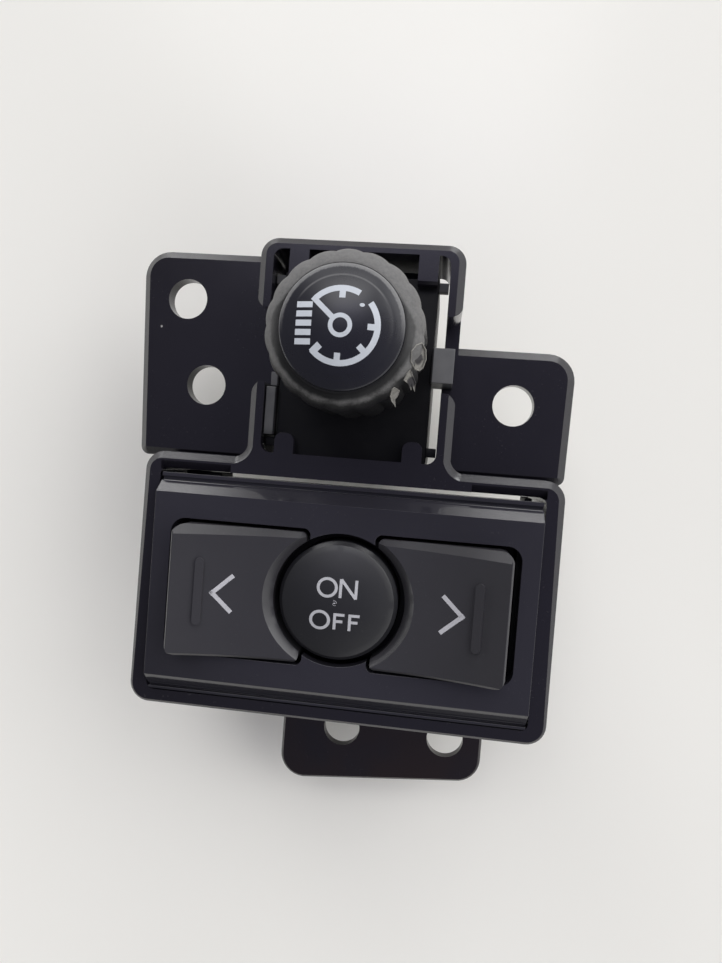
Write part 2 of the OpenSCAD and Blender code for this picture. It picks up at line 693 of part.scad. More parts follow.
module switch_housing() {
    post_w = 3.8;
    in_x = case_x - shell_t;
    in_top = case_top - shell_t;
    in_bottom = case_bottom + shell_t;
    latch_top = flange_z - ledge_t - 0.1;
    rib_z = flange_z - 6;
    color([0.11, 0.11, 0.12]) difference() {
        union() {
            difference() {
                round_slab([-case_x, case_bottom, shell_z], [case_x, case_top, flange_z], 1);
                round_slab([-in_x, in_bottom, shell_z - past], [in_x, in_top, flange_z + past], 0.8);
            }
            block([-in_x - bite, in_bottom - bite, deck_z], [in_x + bite, in_top + bite, deck_z + deck_t]);
            translate([0, 0, deck_z]) cylinder(r = guide_r + guide_t, h = guide_top - deck_z);
            for (sx = [-1, 1]) {
                for (sy = [-1, 1])
                    block([sx * pivot[0] - post_w / 2, min(sy * post_in, sy * post_out), deck_z],
                          [sx * pivot[0] + post_w / 2, max(sy * post_in, sy * post_out), post_top]);
                x0 = sx * (case_x - bite);
                x1 = sx * (case_x + 0.9);
                along_y(-4, 4, [[x0, latch_top - 3], [x1, latch_top - 0.8], [x1, latch_top], [x0, latch_top]]);
            }
            rib_x = case_x - 4.6;
            block([-rib_x, case_top - bite, rib_z], [2.1 - rib_x, inner_top - 0.3, flange_z - fit]);
            block([-case_x, case_top - bite, rib_z], [bite - rib_x, inner_top - 0.3, flange_z - 4]);
            block([case_x - 1, case_top - bite, rib_z], [case_x, inner_top - 0.3, flange_z - fit]);
        }
        translate([0, 0, deck_z - past]) cylinder(r = guide_r, h = guide_top - deck_z + 2 * past);
        for (sx = [-1, 1]) {
            block([sx * plunger_x - 2.4, -3, deck_z - past], [sx * plunger_x + 2.4, 3, deck_z + deck_t + past]);
            for (sy = [-1, 1]) {
                y0 = min(sy * (post_in - past), sy * (post_out + past));
                translate([sx * pivot[0], y0, pivot[1]]) rotate([-90, 0, 0])
                    cylinder(r = trunnion_r + run, h = post_out - post_in + 2 * past);
                // snap-in slot above each bore
                translate([sx * pivot[0] - trunnion_r + 0.15, y0, pivot[1]])
                    cube([2 * trunnion_r - 0.3, post_out - post_in + 2 * past, post_top - pivot[1] + past]);
            }
        }
    }
}

// One key, drawn for the right-hand side; a positive grow makes its plan larger
module key_outline(grow) {
    difference() {
        round_rect([key_in - 4, -key_y - grow], [key_out + grow, key_y + grow], key_corner);
        translate([0, -key_y - past]) square([key_in - grow, 2 * key_y + 2 * past]);
        for (s = [-1, 1]) corner_outline([key_in - grow, s * (key_y + grow)], [-1, s], key_tip);
        circle(ring_r - grow);
    }
}

// Side view of a key: dished top that rises outwards, rolled outer end
module key_section() {
    roll = 0.4;
    end_z = front_z + key_high;
    difference() {
        polygon([[key_in - 1, key_base], [key_out, key_base], [key_out, end_z - 0.97 * roll],
                 [key_out - 0.97 * roll, end_z - 0.97 * roll], [key_out - 0.97 * roll, end_z + 1], [key_in - 1, end_z + 1]]);
        translate([dish_from, front_z + key_low + dish_r]) circle(dish_r, $fn = 240);
    }
    translate([key_out - 0.97 * roll, end_z - 0.97 * roll]) intersection() {
        circle(roll);
        translate([-0.01, -0.01]) square(0.97 * roll + 0.01);
    }
}

module key_block(grow, drop) {
    intersection() {
        translate([0, 0, key_base - drop]) linear_extrude(key_high + 6) key_outline(grow);
        translate([0, key_y + past, -drop]) rotate([90, 0, 0]) linear_extrude(2 * key_y + 2 * past) key_section();
    }
}

// Ring that cuts a long bevel of width w and follows the dish; its axis lies further out by
// lean, so that the bevel grows wider towards the key's outer end
module key_bevel(side, w, lean) {
    translate([dish_from + lean, side * key_y, front_z + key_low + dish_r]) rotate([side * -90, 0, 0])
        rotate_extrude($fn = 200) polygon([[dish_r - 3, -w - 3], [dish_r + w + 1, 1], [dish_r - 3, 1]]);
}

module key() {
    difference() {
        union() {
            difference() {
                key_block(0, 0);
                key_block(-key_wall, key_skin);
            }
            translate([plunger_x, 0, 0]) block([-1.5, -1.7, dome_z + plunger_gap], [1.5, 1.7, front_z + key_low + 1.1]);
            for (side = [-1, 1]) {
                low = min(side * ear_in, side * key_y);
                block([pivot[0] - 1.7, low, pivot[1] - 1.3], [pivot[0] + 1.7, low + key_y - ear_in, key_base + 1]);
                translate([pivot[0], min(side * (ear_in + 0.5), side * trunnion_out), pivot[1]]) rotate([-90, 0, 0])
                    cylinder(r = trunnion_r, h = trunnion_out - ear_in - 0.5);
            }
        }
        key_bevel(1, 0.8, 1.8);
        key_bevel(-1, 0.35, 0);
        // bevel along the hollow that faces the button
        translate([0, 0, front_z + key_low - 1]) cylinder(r1 = ring_r - 0.1, r2 = ring_r + 4.9, h = 5);
    }
    key_bar();
}

// Raised bar that the finger finds
module key_bar() {
    bar_z = front_z + key_low + (bar_x - dish_from) * (bar_x - dish_from) / (2 * dish_r);
    tilt = atan((bar_x - dish_from) / dish_r);
    translate([bar_x, 0, bar_z]) rotate([0, -tilt, 0]) {
        block([-bar_w / 2, -bar_l / 2 + bar_w / 2, -0.6], [bar_w / 2, bar_l / 2 - bar_w / 2, bar_rise]);
        for (y = [-bar_l / 2 + bar_w / 2, bar_l / 2 - bar_w / 2]) translate([0, y, -0.6])
            cylinder(r = bar_w / 2, h = 0.6 + bar_rise);
    }
}

module right_key() {
    color([0.19, 0.19, 0.205]) key();
}

module left_key() {
    color([0.19, 0.19, 0.205]) mirror([1, 0, 0]) key();
}

module on_off_button() {
    z_edge = front_z + button_edge;
    skin = 1.6;
    wall = 1.2;
    dome = (button_r * button_r + button_crown * button_crown) / (2 * button_crown);
    color([0.20, 0.20, 0.215]) difference() {
        union() {
            translate([0, 0, button_skirt_z]) cylinder(r = button_r, h = z_edge - 0.5 - button_skirt_z);
            translate([0, 0, z_edge - 0.5]) cylinder(r1 = button_r, r2 = button_r - 0.5, h = 0.5);
            intersection() {
                translate([0, 0, z_edge - 1]) cylinder(r = button_r - 0.5, h = 1 + button_crown + past);
                translate([0, 0, z_edge + button_crown - dome]) sphere(r = dome, $fn = 96);
            }
            translate([0, 0, dome_z + plunger_gap]) cylinder(r = 2, h = z_edge - 1 - dome_z - plunger_gap);
        }
        translate([0, 0, button_skirt_z - past]) difference() {
            cylinder(r = button_r - wall, h = z_edge - skin - button_skirt_z + past);
            translate([0, 0, -past]) cylinder(r = 2, h = z_edge);
        }
    }
}

module contact_mat() {
    clear = 0.3;
    dome_r = 2.2;
    color([0.55, 0.57, 0.60]) difference() {
        union() {
            round_slab([-case_x + shell_t + clear, case_bottom + shell_t + clear, mat_z],
                       [case_x - shell_t - clear, case_top - shell_t - clear, mat_z + mat_t], 1);
            for (x = [-plunger_x, 0, plunger_x]) translate([x, 0, mat_z + mat_t - bite])
                cylinder(r1 = dome_r + 0.7, r2 = dome_r, h = dome_h + bite);
        }
        for (x = [-plunger_x, 0, plunger_x]) translate([x, 0, mat_z - past])
            cylinder(r = dome_r - 0.3, h = past + mat_t + dome_h - 0.8);
        for (p = [[-lamp_x, 0], [lamp_x, 0], [0, lamp_y]]) translate([p[0], p[1], mat_z - past])
            cylinder(r = lamp_w / 2 + 0.8, h = mat_t + 2 * past);
    }
}

module legend_lamps() {
    color([0.95, 0.93, 0.80]) for (p = [[-lamp_x, 0], [lamp_x, 0], [0, lamp_y]]) translate([p[0], p[1], mat_z]) {
        block([-lamp_w / 2, -0.4 * lamp_w, 0], [lamp_w / 2, 0.4 * lamp_w, lamp_t]);
        translate([0, 0, lamp_t]) cylinder(r1 = 0.38 * lamp_w, r2 = 0.3 * lamp_w, h = lamp_t);
    }
}

module switch_board() {
    color([0.10, 0.32, 0.18])
        round_slab([-case_x + shell_t + fit, case_bottom + shell_t + fit, board_z],
                   [case_x - shell_t - fit, case_top - shell_t - fit, board_z + board_t], 0.8);
}

module switch_pins() {
    color([0.80, 0.66, 0.36]) pin_row(0, 0, pin_pitch, 8, pin_start, board_z);
}

module switch_cover() {
    rear_shroud([-case_x, case_bottom], [case_x, case_top], [0, 0], 13, 5.5, 8, pin_pitch,
                [-case_x + shell_t + fit, case_bottom + shell_t + fit],
                [case_x - shell_t - fit, case_top - shell_t - fit]);
}

mounting_holder();
dimmer_housing();
dimmer_cover();
dimmer_pins();
dimmer_board();
dimmer_lamp();
light_post();
contact_wafer();
detent_spring();
encoder_rotor();
drive_sleeve();
knob_core();
knob_grip();
knob_cap();
face_plate();
switch_housing();
left_key();
right_key();
on_off_button();
contact_mat();
legend_lamps();
switch_board();
switch_pins();
switch_cover();
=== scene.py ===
# %% [markdown]
# # A dashboard dimmer switch
# The imported model already holds every piece of the switch at its real size: the moulded holder, the two
# modules, the knob, the keys and what sits inside. This script dresses that model. It rounds the edges as
# a mould does, gives each plastic its own finish, prints the legends, wears the knob down and paints some
# light and shade onto it, and then it sets up the light and the camera.

# %% Load the imported model
import json
import math

import bmesh
import bpy
from mathutils import Matrix, Vector


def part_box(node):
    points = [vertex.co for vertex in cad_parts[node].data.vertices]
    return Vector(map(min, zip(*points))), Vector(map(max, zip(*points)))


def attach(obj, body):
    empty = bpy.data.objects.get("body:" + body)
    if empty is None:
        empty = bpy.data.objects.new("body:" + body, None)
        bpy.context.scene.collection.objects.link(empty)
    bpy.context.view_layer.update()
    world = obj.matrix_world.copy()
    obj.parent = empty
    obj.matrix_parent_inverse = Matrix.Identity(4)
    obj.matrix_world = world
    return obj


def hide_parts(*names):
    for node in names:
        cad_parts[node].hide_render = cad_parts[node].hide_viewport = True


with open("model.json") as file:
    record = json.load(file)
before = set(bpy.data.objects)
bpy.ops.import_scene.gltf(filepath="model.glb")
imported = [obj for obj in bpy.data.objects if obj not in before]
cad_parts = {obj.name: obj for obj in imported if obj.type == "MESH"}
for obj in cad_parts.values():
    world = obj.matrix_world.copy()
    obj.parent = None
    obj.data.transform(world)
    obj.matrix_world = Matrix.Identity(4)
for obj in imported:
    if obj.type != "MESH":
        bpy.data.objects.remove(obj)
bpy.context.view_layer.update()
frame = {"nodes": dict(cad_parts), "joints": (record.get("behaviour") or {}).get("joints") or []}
nodes = frame["nodes"]
MM = 0.001

# %% [markdown]
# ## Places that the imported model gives
# Nothing here is measured twice. The button's axis is the model's own Z axis, the knob's axis comes from
# its joint, and the sizes of the knob, the lens, the face plate and the dimmer housing come from the boxes
# of the pieces. Blender works in metres. Plain lengths below are in mm, and `MM` turns them into metres.

# %% Read the driving places from the model
joints = {joint["name"]: joint for joint in frame["joints"]}
knob_axis = Vector(joints["knob_turn"]["pos_m"])
knob_low, knob_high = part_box("knob_grip")
knob_radius = (knob_high.x - knob_low.x) / 2
lens_low, lens_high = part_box("knob_cap")
lens_radius = (lens_high.x - lens_low.x) / 2
plate_low, plate_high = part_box("face_plate")
shell_low, shell_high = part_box("dimmer_cover")
print(f"knob radius {knob_radius / MM:.2f} mm, lens radius {lens_radius / MM:.2f} mm")
print(f"face plate top at {plate_high.z / MM:.2f} mm")

# %% [markdown]
# ## The camera
# The picture was taken from almost straight above with a wide lens held close, so the knob looks larger
# than it is and the lower frame tapers. A camera that stands in the same place shows the same taper. The
# lens is given by the picture's focal length in pixels, and the sensor follows the picture's long side.

# %% Stand the camera where the photographer held it
PICTURE_H = 963
FOCAL_PX = 723.0
SENSOR_MM = 36.0
CAMERA_PLACE = Vector((12.35, 20.5, 137.99)) * MM
CAMERA_PITCH = math.radians(2.03)
CAMERA_YAW = math.radians(-5.94)
CAMERA_ROLL = math.radians(-4.42)
CLIP_NEAR, CLIP_FAR = 5 * MM, 20.0


def add_camera():
    data = bpy.data.cameras.new("photo_camera")
    camera = bpy.data.objects.new("photo_camera", data)
    bpy.context.scene.collection.objects.link(camera)
    data.sensor_width = SENSOR_MM
    data.lens = SENSOR_MM * FOCAL_PX / PICTURE_H
    data.clip_start, data.clip_end = CLIP_NEAR, CLIP_FAR
    turn = (
        Matrix.Rotation(CAMERA_ROLL, 3, "Z")
        @ Matrix.Rotation(CAMERA_PITCH, 3, "X")
        @ Matrix.Rotation(CAMERA_YAW, 3, "Y")
    )
    camera.matrix_world = Matrix.Translation(CAMERA_PLACE) @ turn.transposed().to_4x4()
    bpy.context.scene.camera = camera
    return camera


camera = add_camera()
print(f"lens {camera.data.lens:.2f} mm, {CAMERA_PLACE.z / MM:.0f} mm above the table")

# %% [markdown]
# ## Shader arithmetic
# A finish is easier to read as an expression than as a web of nodes. `Wire` wraps one output socket, so
# that `1 - mask * 0.3` adds the Math nodes by itself. `Net` adds any other node with one method, `add`.
# `Finish` is such a net with a Principled shader in it, and `between` makes most of its masks: a soft step
# of a height, a distance or a noise.

# %% A wire that does arithmetic


class Wire:
    """One output socket; arithmetic on it adds Math nodes."""

    def __init__(self, net, socket):
        self.net, self.socket = net, socket

    def __add__(self, other):
        return self.net.calc("ADD", self, other)

    def __radd__(self, other):
        return self.net.calc("ADD", other, self)

    def __sub__(self, other):
        return self.net.calc("SUBTRACT", self, other)

    def __rsub__(self, other):
        return self.net.calc("SUBTRACT", other, self)

    def __mul__(self, other):
        return self.net.calc("MULTIPLY", self, other)

    def __rmul__(self, other):
        return self.net.calc("MULTIPLY", other, self)


print("wire ready")

# %% A net of nodes, and a finish


class Net:
    """A node tree and the few ways in which this script adds nodes to it."""

    def __init__(self, tree):
        self.tree = tree

    def add(self, kind, settings=None, inputs=None, out=0):
        """A node: first its settings, then the values or wires of its sockets."""
        node = self.tree.nodes.new("ShaderNode" + kind)
        for name, value in (settings or {}).items():
            setattr(node, name, value)
        for name, value in (inputs or {}).items():
            self.feed(node.inputs[name], value)
        return Wire(self, node.outputs[out])

    def feed(self, socket, value):
        """Link a wire to a socket, or write a plain value on it."""
        if isinstance(value, Wire):
            self.tree.links.new(value.socket, socket)
        else:
            socket.default_value = value

    def calc(self, operation, *values):
        """A Math node on values or wires."""
        return self.add("Math", {"operation": operation}, dict(enumerate(values)))

    def between(self, value, low, high, to_low=0.0, to_high=1.0):
        """A smooth step of value from low to high."""
        return self.add("MapRange", {"interpolation_type": "SMOOTHSTEP"}, {
            "Value": value, "From Min": low, "From Max": high, "To Min": to_low, "To Max": to_high})

    def mix(self, factor, a, b):
        """Colour a where factor is 0 and colour b where it is 1."""
        return self.add("Mix", {"data_type": "RGBA"}, {"Factor": factor, "A": a, "B": b}, "Result")

    def split(self, vector):
        """The three parts of a vector."""
        node = self.add("SeparateXYZ", None, {0: vector}).socket.node
        return [Wire(self, part) for part in node.outputs]


class Finish(Net):
    """A material: a Principled shader, the values set on it, and the nodes that feed it."""

    def __init__(self, name, **values):
        self.material = bpy.data.materials.new(name)
        self.material.use_nodes = True
        super().__init__(self.material.node_tree)
        self.shader = self.tree.nodes["Principled BSDF"]
        self.set(**values)
        self.place = self.add("TexCoord", out="Object")

    def set(self, **values):
        """Write values or link wires on the shader; Base_Color stands for the socket Base Color."""
        for socket, value in values.items():
            self.feed(self.shader.inputs[socket.replace("_", " ")], value)

    def noise(self, per_metre, detail=2.0, roughness=0.5):
        """Noise from 0 to 1 with about per_metre lumps in a metre."""
        return self.add("TexNoise", {"noise_dimensions": "3D"}, {
            "Vector": self.place, "Scale": per_metre, "Detail": detail, "Roughness": roughness})

    def distance(self, centre):
        """Distance in metres from a fixed place in metres."""
        return self.add("VectorMath", {"operation": "DISTANCE"}, {0: self.place, 1: tuple(centre)}, "Value")

    def between_mm(self, value, low, high, *results):
        """A smooth step of a length from low to high; these, and the results it runs between, are in mm."""
        return self.between(value, low * MM, high * MM, *[result * MM for result in results])

    def bump(self, height, depth):
        """Tilt the normals as a relief does that is depth mm deep where height is 1."""
        sockets = {"Height": height, "Distance": depth * MM, "Strength": 1.0}
        self.set(Normal=self.add("Bump", None, sockets, "Normal"))


def rgb(red, green, blue):
    return (red, green, blue, 1.0)


def tinted(colour, factor):
    """A colour made darker or lighter."""
    return rgb(*[min(1, part * factor) for part in colour])


print("finish helper ready")

# %% [markdown]
# ## Moulded plastics
# Nearly everything here is black plastic, and what tells the mouldings apart is their gloss. The holder's
# ears are smooth, the plate and the keys are satin from a fine spark-eroded mould. So each plastic is one
# call with its own colour, gloss and grain. Handling leaves faint smears that only change the gloss, and
# fine dust that is slightly lighter. A nick is a pale spot, and towards its tab the holder's black is a
# little browner. The patterns are noises, named here with their lumps in a metre, their detail and
# their roughness. Each step says between which values of its noise the pattern fades in.

# %% A moulded plastic
CLOUDS, SMEARS, GRAIN = (90, 4.0, 0.6), (260, 5.0, 0.65), (2.0, 0.6)
SPECKS, SPECK_STEP = (2600, 1.0, 0.4), (0.70, 0.75)
DRIFTS, DRIFT_STEP = (140, 3.0), (0.45, 0.62)
BROWN_PATCHES, BROWN_STEP = (60, 3.0), (0.3, 0.6)
DARKEST, LIGHTEST = 0.86, 1.12
BROWN_FADE = 3
NICK_CORE, NICK_STEP = 0.4, (0.35, 0.5)
DUST_GREY = rgb(0.30, 0.29, 0.28)
BROWN_BLACK = rgb(0.017, 0.011, 0.012)
NICK_GREY = rgb(0.42, 0.41, 0.40)


def moulded(name, colour, gloss, grain_mm=0.12, grain_depth=0.003, smear=0.03, dust=0.0, ior=1.55,
            nicks=(), brown_from=None):
    """A plastic, browner below brown_from; a nick is a place in metres and a size in mm."""
    finish = Finish(name, IOR=ior)
    cloud = finish.noise(*CLOUDS)
    smears = finish.noise(*SMEARS)
    grain = finish.noise(1 / (grain_mm * MM), *GRAIN)
    base = finish.mix(cloud, tinted(colour, DARKEST), tinted(colour, LIGHTEST))
    if dust:
        specks = finish.between(finish.noise(*SPECKS), *SPECK_STEP)
        drifts = finish.between(finish.noise(*DRIFTS), *DRIFT_STEP)
        base = finish.mix(specks * drifts * dust, base, DUST_GREY)
    if brown_from:
        along = finish.split(finish.place)[1]
        patches = finish.between(finish.noise(*BROWN_PATCHES), *BROWN_STEP)
        brown = finish.between_mm(along, brown_from, brown_from - BROWN_FADE) * patches
        base = finish.mix(brown, base, BROWN_BLACK)
    for place, size in nicks:
        spot = finish.between_mm(finish.distance(place), size, size * NICK_CORE)
        base = finish.mix(spot * finish.between(grain, *NICK_STEP), base, NICK_GREY)
    finish.set(Base_Color=base, Roughness=gloss - smear + smears * smear * 2)
    finish.bump(grain, grain_depth)
    return finish.material


EAR_NICKS = [((-0.0327, 0.0385, 0.027), 0.25)]
PLATE_NICKS = [((0.0081, -0.0142, 0.038), 0.28), ((0.0101, -0.0141, 0.038), 0.3)]
TAB_FROM = -19
holder_black = moulded("holder_black", (0.011, 0.010, 0.015), 0.2, dust=0.05, nicks=EAR_NICKS,
                       brown_from=TAB_FROM)
cover_black = moulded("cover_black", (0.016, 0.016, 0.018), 0.5)
plate_black = moulded("plate_black", (0.024, 0.023, 0.030), 0.07, grain_depth=0.0006, smear=0.02, dust=0.04,
                      nicks=PLATE_NICKS)
key_black = moulded("key_black", (0.034, 0.033, 0.038), 0.3, grain_mm=0.1, dust=0.05)
button_black = moulded("button_black", (0.009, 0.009, 0.012), 0.42, grain_mm=0.1, dust=0.04, ior=1.6)
core_black = moulded("core_black", (0.005, 0.005, 0.006), 0.4, ior=1.3)
print("plastics:", [m.name for m in bpy.data.materials])

# %% [markdown]
# ## The two housings
# Both housings are of a dull black. What stands out beyond the dimmer housing's sides, the latch block and
# the rib, is given a paler grey. The cover has the same width as the housing, so its box tells where the
# sides are. Three steps, sideways, up and along, keep the pale colour to that block and rib.

# %% Dull black, paler beyond the sides
PALE_DEPTH, PALE_UP, PALE_ALONG = 0.15, (28, 33), (21, 24)
DULL_CLOUDS = (600, 4.0)
DULL_BLACK = rgb(0.002, 0.002, 0.003), rgb(0.005, 0.005, 0.006)
PALER_GREY = rgb(0.085, 0.085, 0.090), rgb(0.125, 0.125, 0.130)


def housing_plastic():
    finish = Finish("housing_black", IOR=1.3)
    x, y, z = finish.split(finish.place)
    middle = (shell_low.x + shell_high.x) / 2
    side = (shell_high.x - shell_low.x) / 2
    paler = finish.between(finish.calc("ABSOLUTE", x - middle), side, side + PALE_DEPTH * MM)
    paler = paler * finish.between_mm(z, *PALE_UP) * finish.between_mm(y, *PALE_ALONG)
    cloud = finish.noise(*DULL_CLOUDS)
    colour = finish.mix(paler, finish.mix(cloud, *DULL_BLACK), finish.mix(cloud, *PALER_GREY))
    finish.set(Base_Color=colour, Roughness=0.38 + cloud * 0.08)
    return finish.material


housing_black = housing_plastic()
print("sides of the dimmer housing at", round(shell_low.x / MM, 2), "and", round(shell_high.x / MM, 2), "mm")

# %% [markdown]
# ## The soft coating of the grip
# The grip was black and rubbery. Years of turning have worn its coating to a chalky grey round the front
# edge. That grey band is partly wear and partly painted light: it is widest at the top and the sides, where
# the light falls on it, and its grey also stands for the sheen there. Lower down it stays black as painted
# shade, and towards the lens it is still black. Two masks with ragged edges, one by height and one by
# radius, leave that band. Where the skin is torn it is black too.
# Each pair named ALONG gives the two distances along the panel, from the knob's axis towards the arch,
# between which a value changes.

# %% Worn coating, with painted light and shade
WORN_LIT_FROM_BELOW, WORN_LIT_FROM = 53.1, 51.2
START_ALONG, START_FADE = (1, -7), 0.8
INNER_BELOW, INNER_ABOVE = 8.15, 7.0
INNER_ALONG, INNER_FADE = (0, 5), 0.7
HALF_WORN_LIT, HALF_RING, HALF_ALONG = 0.35, (7.1, 8.3), (-5, 0)
RAGGED_UP, RAGGED_IN, RAGGED_TEAR = 1.4, 0.6, 1.6
TORN_PLACE = Vector((8.6, -7.0, 15.0))
TORN_SIZE, TORN_FADE = 3.0, 0.3
COATING_RELIEF = 0.015
RAGS, CHALK, SCRATCHES = (900, 5.0, 0.7), (2200, 4.0, 0.7), (5200, 3.0, 0.75)
CHALK_AND_SHEEN_GREY = rgb(0.072, 0.071, 0.072), rgb(0.19, 0.187, 0.185)
RUBBER_BLACK = rgb(0.005, 0.005, 0.006), rgb(0.012, 0.012, 0.013)


def from_knob_axis(finish):
    """How far a place is from the knob's axis: along the panel, outwards, and up from the joint."""
    away = finish.add("VectorMath", {"operation": "SUBTRACT"}, {0: finish.place, 1: tuple(knob_axis)})
    across, along, up = finish.split(away)
    return along, finish.calc("SQRT", across * across + along * along), up


def worn_and_lit_coating():
    finish = Finish("grip_coating", IOR=1.35)
    along, radius, up = from_knob_axis(finish)
    height = up + knob_axis.z
    ragged = finish.noise(*RAGS) - 0.5
    # Painted light and shade: the band starts lower and reaches further in on the upper side than on the
    # lower side.
    start = finish.between_mm(along, *START_ALONG, WORN_LIT_FROM, WORN_LIT_FROM_BELOW)
    worn_and_lit = finish.between(height + ragged * (RAGGED_UP * MM), start, start + START_FADE * MM)
    inner = finish.between_mm(along, *INNER_ALONG, INNER_BELOW, INNER_ABOVE)
    full = finish.between(radius + ragged * (RAGGED_IN * MM), inner, inner + INNER_FADE * MM)
    # A half-strength ring on the upper half only, painted light.
    half = finish.between_mm(radius, *HALF_RING) * finish.between_mm(along, *HALF_ALONG) * HALF_WORN_LIT
    torn_off = finish.distance(knob_axis + TORN_PLACE * MM) + ragged * (RAGGED_TEAR * MM)
    torn = finish.between_mm(torn_off, TORN_SIZE, TORN_SIZE - TORN_FADE)
    worn_and_lit = worn_and_lit * finish.calc("MAXIMUM", full, half) * (1 - torn)
    chalk, scratch = finish.noise(*CHALK), finish.noise(*SCRATCHES)
    # The chalky grey is partly wear and partly painted sheen.
    colour = finish.mix(worn_and_lit, finish.mix(scratch, *RUBBER_BLACK), finish.mix(chalk, *CHALK_AND_SHEEN_GREY))
    finish.set(Base_Color=colour, Roughness=0.36 + worn_and_lit * 0.2 + scratch * 0.08)
    finish.bump(scratch + chalk, COATING_RELIEF)
    return finish.material


grip_grey = worn_and_lit_coating()
print("coating ready")

# %% [markdown]
# ## The smoked lens
# The lens is smoked plastic, so deep in colour that it looks black. On the upper half of its edge a grey
# band, and a fine grey arc inside it, are painted highlight where the windows shine on the dome. The band
# is also rougher, so it is dull. Both marks are rings: a step of the distance from the axis draws the ring,
# and a second step lets it fade out downwards.

# %% Smoked plastic, with a painted highlight near the edge
HIGHLIGHT_RING, HIGHLIGHT_ALONG, HIGHLIGHT_RAGGED = (6.85, 7.1), (-1.5, 3.0), 0.3
HIGHLIGHT_ARC, HIGHLIGHT_ARC_HALF, HIGHLIGHT_ARC_ALONG = 5.95, (0.16, 0.04), (2.5, 4.5)
HIGHLIGHT_ARC_SHARE = 0.5
HAIRS = (3800, 3.0, 0.7)
SMOKED_BLACK = rgb(0.010, 0.010, 0.016), rgb(0.014, 0.014, 0.021)
HIGHLIGHT_GREY = rgb(0.11, 0.11, 0.115), rgb(0.18, 0.178, 0.18)


def lens_finish():
    finish = Finish("lens_plastic", IOR=1.5)
    along, radius, _ = from_knob_axis(finish)
    smears, hairs = finish.noise(*SMEARS), finish.noise(*HAIRS)
    # Painted highlight: a grey band on the upper half of the edge, and a fine grey arc inside it.
    edge = finish.between_mm(radius + (hairs - 0.5) * (HIGHLIGHT_RAGGED * MM), *HIGHLIGHT_RING)
    edge = edge * finish.between_mm(along, *HIGHLIGHT_ALONG)
    highlight_arc = finish.between_mm(finish.calc("ABSOLUTE", radius - HIGHLIGHT_ARC * MM), *HIGHLIGHT_ARC_HALF)
    highlight_arc = highlight_arc * finish.between_mm(along, *HIGHLIGHT_ARC_ALONG)
    dull_highlight = finish.calc("MAXIMUM", edge, highlight_arc * HIGHLIGHT_ARC_SHARE)
    colour = finish.mix(dull_highlight, finish.mix(smears, *SMOKED_BLACK), finish.mix(hairs, *HIGHLIGHT_GREY))
    finish.set(Base_Color=colour, Roughness=0.24 + smears * 0.08 + dull_highlight * 0.16)
    return finish.material


lens_black = lens_finish()
print("lens finish ready")

# %% [markdown]
# ## The finishes inside
# The boards, pins and springs show only through the slots or when the part is opened, so each gets a
# simple but true finish of its own.

# %% Boards, metals and clear plastic
BRUSH_MARKS, HAZE = (3000, 3.0), (500, 3.0)
BRUSHED_DARK = 0.85
TRACES, TRACE_STEP = 260.0, (0.2, 0.6)


def metal(name, colour, gloss):
    finish = Finish(name, Metallic=1.0)
    brushed = finish.noise(*BRUSH_MARKS)
    finish.set(Base_Color=finish.mix(brushed, tinted(colour, BRUSHED_DARK), rgb(*colour)),
               Roughness=gloss + brushed * 0.15)
    return finish.material


def board(name, mask_colour, trace_colour):
    finish = Finish(name, Roughness=0.35)
    bricks = finish.add("TexBrick", {"offset": 0.5}, {"Vector": finish.place, "Scale": TRACES})
    lines = finish.between(bricks, *TRACE_STEP)
    finish.set(Base_Color=finish.mix(lines, rgb(*trace_colour), rgb(*mask_colour)))
    return finish.material


def clear(name, colour):
    finish = Finish(name, Transmission_Weight=0.9, IOR=1.49)
    finish.set(Base_Color=rgb(*colour), Roughness=0.05 + finish.noise(*HAZE) * 0.1)
    return finish.material


tinned = metal("tinned_brass", (0.80, 0.76, 0.62), 0.25)
bright_steel = metal("bright_steel", (0.70, 0.70, 0.72), 0.2)
board_green = board("board_green", (0.02, 0.12, 0.05), (0.05, 0.22, 0.10))
wafer_brown = board("wafer_brown", (0.20, 0.11, 0.04), (0.03, 0.03, 0.03))
guide_clear = clear("guide_clear", (0.92, 0.94, 0.95))
acetal_white = moulded("acetal_white", (0.70, 0.69, 0.64), 0.4)
silicone_grey = moulded("silicone_grey", (0.30, 0.31, 0.33), 0.6)
lamp_cream = moulded("lamp_cream", (0.80, 0.74, 0.50), 0.3)
print("inner finishes ready")

# %% [markdown]
# ## Edges as a mould leaves them
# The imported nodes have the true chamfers, and their small edges are still sharp. A live Weld joins the
# loose triangles, a planar Decimate clears the flat faces, and a Bevel rounds what is left. A Weighted
# Normal then keeps the large faces flat to the eye, so that only the rounded edges catch the light. Live
# modifiers leave the node's own mesh alone. The widths are small, because the real radii are small.

# %% Choose the finish and the edge of each carried node
FINISHES = {
    "mounting_holder": holder_black, "dimmer_housing": housing_black, "dimmer_cover": cover_black,
    "dimmer_pins": tinned, "dimmer_board": board_green, "dimmer_lamp": lamp_cream,
    "light_post": guide_clear, "contact_wafer": wafer_brown, "detent_spring": bright_steel,
    "encoder_rotor": acetal_white, "drive_sleeve": core_black, "knob_core": core_black,
    "knob_grip": grip_grey, "knob_cap": lens_black, "face_plate": plate_black,
    "switch_housing": housing_black, "left_key": key_black, "right_key": key_black,
    "on_off_button": button_black, "contact_mat": silicone_grey, "legend_lamps": lamp_cream,
    "switch_board": board_green, "switch_pins": tinned, "switch_cover": cover_black,
}
EDGE_WIDTHS = {
    "mounting_holder": 0.45, "dimmer_housing": 0.15, "face_plate": 0.12, "switch_housing": 0.15,
    "left_key": 0.3, "right_key": 0.3, "on_off_button": 0.3, "switch_cover": 0.2, "dimmer_cover": 0.2,
}
WELD_WITHIN = 0.002
